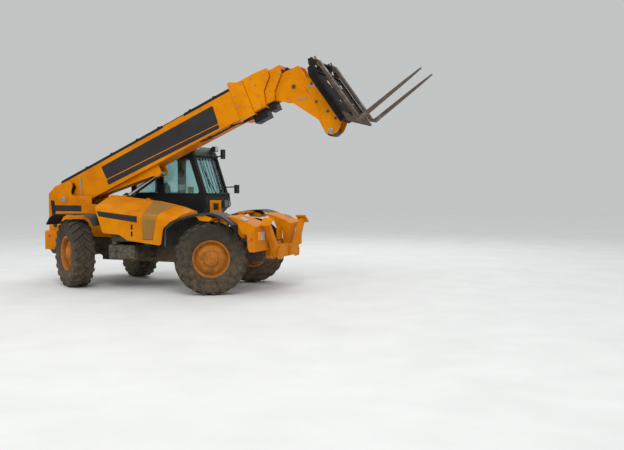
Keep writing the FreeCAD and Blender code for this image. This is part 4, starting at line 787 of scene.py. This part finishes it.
class HANDLER_OT_lamps(bpy.types.Operator):
    """Fits lamp lenses, reflectors and mirror glasses"""
    bl_idname = "handler.lamps"
    bl_label = "Fit lamps and mirrors"

    def execute(self, context):
        # Lens: finish, x from, x to, y from, y to, z from, z to
        lenses = [
            ("lens_red", -1.114, -1.109, 0.375, 0.525, 0.860, 0.985),
            ("lens_amber", -1.114, -1.109, 0.375, 0.525, 0.760, 0.850),
            ("lens_clear", -1.114, -1.109, 0.375, 0.525, 0.665, 0.750),
            ("lens_clear", 3.699, 3.706, 0.660, 0.800, 0.960, 1.100),
            ("lens_amber", 3.699, 3.706, 0.820, 0.900, 0.960, 1.100),
        ]
        for finish in ("lens_red", "lens_amber", "lens_clear"):
            bm = bmesh.new()
            for material, x0, x1, y0, y1, z0, z1 in lenses:
                if material != finish:
                    continue
                for side in (-1, 1):
                    low, high = sorted((side * y0, side * y1))
                    slab(bm, x0, x1, low, high, z0, z1)
            if finish == "lens_red":
                for side in (-1, 1):
                    tube(bm, [(3.632, side * 1.009, 0.977), (3.632, side * 1.016, 0.977)], 0.026, 24)
                    tube(bm, [(-1.00, side * 0.529, 0.90), (-1.00, side * 0.536, 0.90)], 0.030, 24)
            if finish == "lens_clear":
                for y in (0.29, 1.04):
                    slab(bm, 1.849, 1.856, y - 0.060, y + 0.060, 2.570, 2.650)
            finish_piece(bm, finish + "es", "chassis", "black_plastic", finish, bevel=0.004)
        bm = bmesh.new()
        slab(bm, 2.469, 2.475, 0.215, 0.335, 1.480, 1.600)
        finish_piece(bm, "low_lamp_lens", "chassis", "black_plastic", "lens_smoked", bevel=0.004)
        bm = bmesh.new()
        for side in (-1, 1):
            place = MACHINE @ Matrix.Translation((3.46, side * 0.94, 1.305)) @ Matrix.Rotation(math.radians(20), 4, "Y")
            slab(bm, -0.060, 0.060, -0.040, 0.040, -0.012, 0.028, place)
        finish_piece(bm, "side_lamps", "chassis", "black_plastic", "lens_clear", bevel=0.008)
        bm = bmesh.new()
        for x, y0, y1, z0, z1 in ((2.200, 1.120, 1.250, 1.740, 1.890), (1.870, 1.170, 1.290, 2.430, 2.600)):
            prism(bm, rounded_box(y0, y1, z0, z1, 0.02), x - 0.003, x + 0.001, along="x")
        finish_piece(bm, "mirror_glasses", "chassis", "black_plastic", "mirror_glass")
        return {"FINISHED"}


class HANDLER_OT_cab_trim(bpy.types.Operator):
    """Adds window rubbers, a pillar, the wiper, handles, rails and the things inside the cab"""
    bl_idname = "handler.cab_trim"
    bl_label = "Trim the cab"

    def execute(self, context):
        right, left = 0.200, 1.130
        side_windows = {
            "chassis": [
                (right, [(0.490, 1.730, 0.06), (1.960, 1.730, 0.05), (1.730, 2.400, 0.06), (0.520, 2.430, 0.06)]),
                (left, [(0.490, 1.740, 0.05), (0.920, 1.740, 0.05), (0.920, 2.430, 0.06), (0.500, 2.430, 0.06)]),
            ],
            "door": [
                (left, [(1.080, 1.500, 0.06), (1.900, 1.560, 0.04), (1.885, 1.710, 0.04), (1.670, 2.390, 0.06),
                        (1.080, 2.420, 0.06)]),
            ],
        }
        for body, windows in side_windows.items():
            bm = bmesh.new()
            for y, outline in windows:
                tube(bm, [(p.x, y, p.y) for p in rounded(outline)], 0.011, 8, closed=True)
            if body == "chassis":
                screen = rounded_box(0.270, 1.060, 1.730, 2.450, 0.05)
                tube(bm, [(2.057 - (p.y - SCREEN_FOOT) * SCREEN_LEAN, p.x, p.y) for p in screen], 0.011, 8, closed=True)
                rear = rounded_box(0.280, 1.050, 1.740, 2.350, 0.05)
                tube(bm, [(0.400 + (p.y - 1.4) * 0.0095, p.x, p.y) for p in rear], 0.011, 8, closed=True)
            finish_piece(bm, "window_rubbers_" + body, body, "black_plastic", smooth=60)
        bm = bmesh.new()
        prism(bm, rounded([(1.010, 1.700, 0.01), (1.150, 1.700, 0.01), (1.130, 2.440, 0.01), (1.000, 2.440, 0.01)]),
              0.194, 0.226)
        finish_piece(bm, "quarter_pillar", "chassis", "black_metal", bevel=0.006)
        bm = bmesh.new()
        for foot, places, radius, sides in (
                (2.070, ((0.62, 1.735), (0.50, 2.00), (0.44, 2.14)), [0.009, 0.007, 0.005], 8),
                (2.066, ((0.47, 1.84), (0.44, 2.14), (0.41, 2.40)), 0.007, 6)):
            tube(bm, [(foot - (z - SCREEN_FOOT) * SCREEN_LEAN, y, z) for y, z in places], radius, sides)
        finish_piece(bm, "windscreen_wiper", "chassis", "black_plastic", smooth=60)
        bm = bmesh.new()
        tube(bm, [(1.16, 1.128, 1.38), (1.16, 1.165, 1.39), (1.28, 1.165, 1.39), (1.28, 1.128, 1.38)], 0.010, 10)
        prism(bm, rounded_box(1.13, 1.31, 1.345, 1.435, 0.02), 1.1285, 1.134)
        finish_piece(bm, "door_handle", "door", "black_plastic", bevel=0.002)
        bm = bmesh.new()
        for points in ([(2.085, 1.118, 1.46), (2.09, 1.150, 1.50), (2.06, 1.150, 1.72), (2.04, 1.118, 1.74)],
                       [(0.62, 1.118, 1.50), (0.62, 1.160, 1.52), (0.60, 1.160, 1.95), (0.60, 1.118, 1.97)]):
            tube(bm, points, 0.013, 10)
        for z in (1.06, 1.72, 2.38):
            tube(bm, [(0.992, 1.135, z - 0.05), (0.992, 1.135, z + 0.05)], 0.014, 12)
        finish_piece(bm, "grab_rails", "chassis", "black_metal", smooth=50)
        self.inside()
        return {"FINISHED"}

    def inside(self):
        """The steering wheel's grip, levers, pedals, dials and the blank cards stuck inside the right window."""
        bm = bmesh.new()
        reach = 0.190
        middle = Vector((1.560, CAB_Y, 1.650))
        axis = (middle - Vector((1.755, CAB_Y, 0.950))).normalized()
        across = Vector((0, 1, 0))
        other = axis.cross(across)
        turns = [math.tau * k / 48 for k in range(48)]
        tube(bm, [middle + (across * math.cos(a) + other * math.sin(a)) * reach for a in turns], 0.0165, 12, closed=True)
        pin_head(bm, MACHINE, middle, axis, 0.050, 0.030)
        tube(bm, [middle + across * reach + axis * up for up in (0.012, 0.045)], [0.012, 0.020], 16)
        finish_piece(bm, "steering_grip", "chassis", "black_plastic", smooth=60)
        bm = bmesh.new()
        for x, y, z in ((1.12, 0.300, 1.445), (1.05, 0.285, 1.435)):
            tube(bm, [(x, y, z - 0.02), (x + 0.02, y, z + 0.09), (x + 0.015, y, z + 0.16)], [0.010, 0.009, 0.022], 16)
        for y in (0.60, 0.78):
            slab(bm, 1.80, 1.86, y - 0.035, y + 0.035, 0.965, 1.060)
        for y in (0.42, 0.90):
            slab(bm, 1.842, 1.850, y - 0.045, y + 0.045, 1.560, 1.620)
        finish_piece(bm, "levers_and_pedals", "chassis", "black_plastic", bevel=0.004)
        for name, colour, x0, x1, z0, z1 in (("window_card_pale", "card_pale", 1.460, 1.600, 1.800, 1.905),
                                             ("window_card_green", "card_green", 1.660, 1.800, 1.735, 1.860)):
            bm = bmesh.new()
            slab(bm, x0, x1, 0.2295, 0.2305, z0, z1)
            finish_piece(bm, name, "chassis", "black_plastic", colour)


class HANDLER_OT_seat(bpy.types.Operator):
    """Sews the driver's seat: a crowned cushion and back on a boxed base"""
    bl_idname = "handler.seat"
    bl_label = "Sew the seat"

    def execute(self, context):
        bm = bmesh.new()
        slab(bm, 0.970, 1.310, CAB_Y - 0.170, CAB_Y + 0.170, 0.932, 1.060)
        # Folds of the bellows
        fold = 0.028
        for k in range(6):
            z, inset = 1.065 + k * fold, 0.006 * (k % 2)
            slab(bm, 0.985 + inset, 1.295 - inset, CAB_Y - 0.155, CAB_Y + 0.155, z, z + fold)
        slab(bm, 0.940, 1.400, CAB_Y - 0.200, CAB_Y + 0.200, 1.235, 1.262)
        for arm in (CAB_Y - 0.262, CAB_Y + 0.262):
            slab(bm, 0.990, 1.300, arm - 0.030, arm + 0.030, 1.490, 1.540)
            slab(bm, 0.960, 1.010, arm - 0.020, arm + 0.020, 1.300, 1.500)
        finish_piece(bm, "seat_base", "chassis", "black_plastic", bevel=0.008, replaces=["operator_seat"])
        # Pad: name, middle, size and tilt
        self.pad("seat_cushion", (1.185, CAB_Y, 1.322), (0.49, 0.48, 0.125), -2.0)
        self.pad("seat_back", (0.885, CAB_Y, 1.640), (0.125, 0.46, 0.66), -9.0)
        return {"FINISHED"}

    def pad(self, name, place, size, tilt):
        """A crowned pad, its sides pulled in between the corners, stuffed and then sewn through in two channels."""
        bm = bmesh.new()
        bmesh.ops.create_cube(bm, size=2.0)
        bmesh.ops.subdivide_edges(bm, edges=bm.edges, cuts=23, use_grid_fill=True)
        turn = MACHINE @ Matrix.Translation(place) @ Matrix.Rotation(math.radians(tilt), 4, "Y")
        flat = 0 if size[0] < size[2] else 2
        wide = [axis for axis in range(3) if axis != flat]
        half = [length / 2 - STUFFING_CAP * 0.7 for length in size]
        for vert in bm.verts:
            spot = vert.co.copy()
            for axis in range(3):
                a, b = [spot[other] for other in range(3) if other != axis]
                vert.co[axis] = spot[axis] * (1 - 0.16 * a ** 6 - 0.16 * b ** 6 + 0.10 * a ** 6 * b ** 6)
            vert.co[flat] *= 0.72 + 0.30 * (1 - spot[wide[0]] ** 2) * (1 - spot[wide[1]] ** 2)
            for axis in wide:
                if abs(spot[axis]) > 0.999:
                    vert.co[axis] *= 0.975 + 0.025 * abs(spot[wide[0] if axis == wide[1] else wide[1]]) ** 4
            vert.co = turn @ Vector([part * reach for part, reach in zip(vert.co, half)])
        piece = finish_piece(bm, name, "chassis", "seat_fabric", smooth=80)
        self.stuff(piece)
        # Sewn channels run across the pad's face
        back = turn.inverted()
        for vert in piece.data.vertices:
            spot = back @ vert.co
            sink = sum(math.exp(-((spot.y - at) / CHANNEL_WIDTH) ** 2) for at in (-0.11, 0.11)) * CHANNEL_DEPTH
            spot[flat] -= sink * max(-1.0, min(1.0, spot[flat] / (0.5 * half[flat])))
            vert.co = turn @ spot
        piece.data.shade_smooth()
        piece.modifiers.new("finer weave", "SUBSURF").render_levels = 1

    def stuff(self, piece):
        """Blows the pad's cover up as cloth from an even mesh, holds each point under the cap, and keeps the result."""
        scene = bpy.context.scene
        even = piece.modifiers.new("even mesh", "REMESH")
        even.mode, even.voxel_size = "VOXEL", VOXEL
        mesh = bpy.data.meshes.new_from_object(piece.evaluated_get(bpy.context.evaluated_depsgraph_get()))
        piece.modifiers.remove(even)
        piece.data = mesh
        start = [vert.co.copy() for vert in mesh.vertices]
        cover = piece.modifiers.new("cover", "CLOTH")
        cover.settings.use_pressure = True
        cover.settings.uniform_pressure_force = 4.0
        cover.settings.effector_weights.gravity = 0.0
        cover.point_cache.frame_start, cover.point_cache.frame_end = 1, 20
        for number in range(1, 21):
            scene.frame_set(number)
        cloth = piece.evaluated_get(bpy.context.evaluated_depsgraph_get())
        blown = [vert.co.copy() for vert in cloth.data.vertices]
        piece.modifiers.remove(cover)
        scene.frame_set(1)
        for vert, old, new in zip(mesh.vertices, start, blown):
            away = new - old
            vert.co = old + away * min(1.0, STUFFING_CAP / max(away.length, 1e-9))


class HANDLER_OT_carriage_trim(bpy.types.Operator):
    """Adds the carriage's pins, plugs, keepers, painted highlights along the shank edges, fork latch handles and pipes
    """
    bl_idname = "handler.carriage_trim"
    bl_label = "Trim the carriage"

    def execute(self, context):
        bm = bmesh.new()
        for away in (-1, 1):
            plate, frame_face = BOOM_Y + away * 0.155, BOOM_Y + away * 0.215
            pin_head(bm, CARRIAGE, (0.415, frame_face - away * 0.001, 0.572), (0, away, 0), 0.052, 0.028)
            pin_head(bm, CARRIAGE, (0.400, frame_face - away * 0.001, 0.284), (0, away, 0), 0.026, 0.014)
            pin_head(bm, CARRIAGE, (0.0, BOOM_Y + away * 0.164, 0.0), (0, away, 0), 0.050, 0.012)
            keeper = [(0.100, 0.850, 0.012), (0.215, 0.780, 0.012), (0.228, 0.810, 0.012), (0.115, 0.880, 0.012)]
            prism(bm, rounded(keeper), plate - 0.001, plate + away * 0.006, CARRIAGE)
        finish_piece(bm, "carriage_pins", "carriage", "black_metal", "zinc", bevel=0.002)
        bm = bmesh.new()
        for side in (-1, 1):
            pin_head(bm, CARRIAGE, (0.459, BOOM_Y + side * 0.305, 0.626), (1, 0, 0), 0.048, 0.022)
            pin_head(bm, CARRIAGE, (0.459, BOOM_Y + side * 0.320, 0.240), (1, 0, 0), 0.024, 0.014)
        finish_piece(bm, "sheet_pins", "carriage", "black_metal", "zinc", bevel=0.002)
        bm = bmesh.new()
        for away in (-1, 1):
            for u, v in ((0.190, 0.868), (0.190, 0.120), (0.080, 0.560), (0.150, 0.300)):
                tube(bm, [(u, BOOM_Y + away * 0.154, v), (u, BOOM_Y + away * 0.157, v)], 0.026, 20, place=CARRIAGE)
        finish_piece(bm, "hitch_plugs", "carriage", "black_metal", "dirty_steel", bevel=0.001)
        # Pale strips on the fork shanks' front corners, a painted highlight where the edges catch light, and the latch
        # handles over them
        bm = bmesh.new()
        for y in (BOOM_Y - 0.383, BOOM_Y + 0.383):
            for edge in (y - 0.0585, y + 0.0585):
                slab(bm, 0.5885, 0.5915, edge - 0.005, edge + 0.005, -0.12, 0.94, CARRIAGE)
            tube(bm, [(0.552, y, 1.070), (0.552, y, 1.098), (0.552, y, 1.112)], [0.014, 0.014, 0.022], 16, place=CARRIAGE)
        finish_piece(bm, "shank_highlights_and_latches", "carriage", "fork_steel", "edge_highlight", bevel=0.001)
        bm = bmesh.new()
        for y in (BOOM_Y - 0.045, BOOM_Y + 0.045):
            path = [(u, y, v) for u, v in (
                (0.27, 0.20), (0.33, 0.24), (0.37, 0.34), (0.37, 0.62), (0.33, 0.70), (0.27, 0.72))]
            tube(bm, path, 0.010, 12, place=CARRIAGE)
        finish_piece(bm, "carriage_pipes", "carriage", "black_metal", "hose_rubber", smooth=60)
        return {"FINISHED"}


class HANDLER_OT_stage(bpy.types.Operator):
    """Lays a pale floor, hangs soft studio lamps and sets the camera where the machine was seen from"""
    bl_idname = "handler.stage"
    bl_label = "Set the stage"

    def execute(self, context):
        scene = context.scene
        # Pale floor with broad stains that hardly show
        material, tree, spot = start_material("pale concrete floor")
        stain = add(tree, "TexNoise", {"Vector": spot, "Scale": 1000 / 900, "Detail": 6.0, "Roughness": 0.6})
        stain = add(tree, "MapRange", {"Value": stain, "From Min": 0.3, "From Max": 0.7})
        stained = add(tree, "Mix", {0: stain, 6: FLOOR_PALE, 7: FLOOR_STAIN}, data_type="RGBA").outputs[2]
        end_material(material, {"Base Color": stained, "Roughness": 0.9})
        bm = bmesh.new()
        bmesh.ops.create_grid(bm, x_segments=1, y_segments=1, size=60)
        mesh = bpy.data.meshes.new("floor")
        bm.to_mesh(mesh)
        bm.free()
        mesh.materials.append(material)
        floor = bpy.data.objects.new("floor", mesh)
        scene.collection.objects.link(floor)
        world = bpy.data.worlds.new("studio")
        scene.world = world
        world.use_nodes = True
        tree = world.node_tree
        tree.nodes.clear()
        path = add(tree, "LightPath").outputs
        seen = path["Is Camera Ray"]
        for ray in ("Is Glossy Ray", "Is Transmission Ray"):
            seen = add(tree, "Math", {0: seen, 1: path[ray]}, operation="MAXIMUM")
        fill = add(tree, "Background", {"Color": SKY, "Strength": SKY_STRENGTH})
        # The backdrop is as bright as the far floor under the same sky, so that no horizon shows
        pale, stained, sky = paint_value(FLOOR_PALE), paint_value(FLOOR_STAIN), paint_value(SKY)
        far = [(one + other) / 2 * light for one, other, light in zip(pale, stained, sky)]
        backdrop = add(tree, "Background", {"Color": far, "Strength": SKY_STRENGTH})
        mixed = add(tree, "MixShader", {0: seen, 1: fill, 2: backdrop})
        add(tree, "OutputWorld", {"Surface": mixed})
        # Key, fill and back lamp: place, watts, side length
        for place, watts, side in (
                ((5.0, -10.0, 12.0), 780, 6.0), ((-9.0, -6.0, 8.0), 250, 7.0), ((0.0, 9.0, 10.0), 400, 8.0)):
            lamp = bpy.data.lights.new("soft box", "AREA")
            lamp.energy, lamp.size = watts, side
            holder = bpy.data.objects.new("soft box", lamp)
            holder.location = place
            holder.rotation_mode = "QUATERNION"
            holder.rotation_quaternion = (Vector((0, 0, 1.4)) - Vector(place)).to_track_quat("-Z", "Y")
            scene.collection.objects.link(holder)
        # The lens and the place that the machine was seen from, for a frame of 624 by 450
        camera = bpy.data.cameras.new("photo camera")
        camera.sensor_width, camera.lens = 36.0, 36.0 * 768.6 / 624
        camera.clip_end = 500
        seat = bpy.data.objects.new("photo camera", camera)
        seat.location = (REAR_X + 9.345, -12.534, 1.875)
        seat.rotation_euler = (math.radians(87.074), 0.0, math.radians(21.862))
        scene.collection.objects.link(seat)
        scene.camera = seat
        scene.view_settings.view_transform = "Standard"
        return {"FINISHED"}


class HANDLER_PT_panel(bpy.types.Panel):
    """Lists the dressing steps and their settings"""
    bl_idname = "HANDLER_PT_panel"
    bl_label = "Telescopic Handler"
    bl_space_type = "VIEW_3D"
    bl_region_type = "UI"
    bl_category = "Handler"

    def draw(self, context):
        layout = self.layout
        for group in (context.scene.handler_colours, context.scene.handler_sizes):
            for name in group.__annotations__:
                layout.prop(group, name)
        for step in STEPS:
            layout.operator(step.bl_idname)


STEPS = (HANDLER_OT_dress_nodes, HANDLER_OT_wheels, HANDLER_OT_boom_trim, HANDLER_OT_panels, HANDLER_OT_lamps,
         HANDLER_OT_cab_trim, HANDLER_OT_seat, HANDLER_OT_carriage_trim, HANDLER_OT_stage)
CLASSES = (HandlerColours, HandlerSizes, *STEPS, HANDLER_PT_panel)


def register():
    """Adds the classes and the scene's settings."""
    for item in CLASSES:
        bpy.utils.register_class(item)
    bpy.types.Scene.handler_colours = bpy.props.PointerProperty(type=HandlerColours)
    bpy.types.Scene.handler_sizes = bpy.props.PointerProperty(type=HandlerSizes)


def unregister():
    """Removes what register added."""
    del bpy.types.Scene.handler_sizes
    del bpy.types.Scene.handler_colours
    for item in reversed(CLASSES):
        bpy.utils.unregister_class(item)


def main():
    """Builds the whole dress in order."""
    register()
    make_materials(bpy.context.scene.handler_colours)
    for step in STEPS:
        area, _, name = step.bl_idname.partition(".")
        getattr(getattr(bpy.ops, area), name)()


if __name__ == "__main__":
    main()
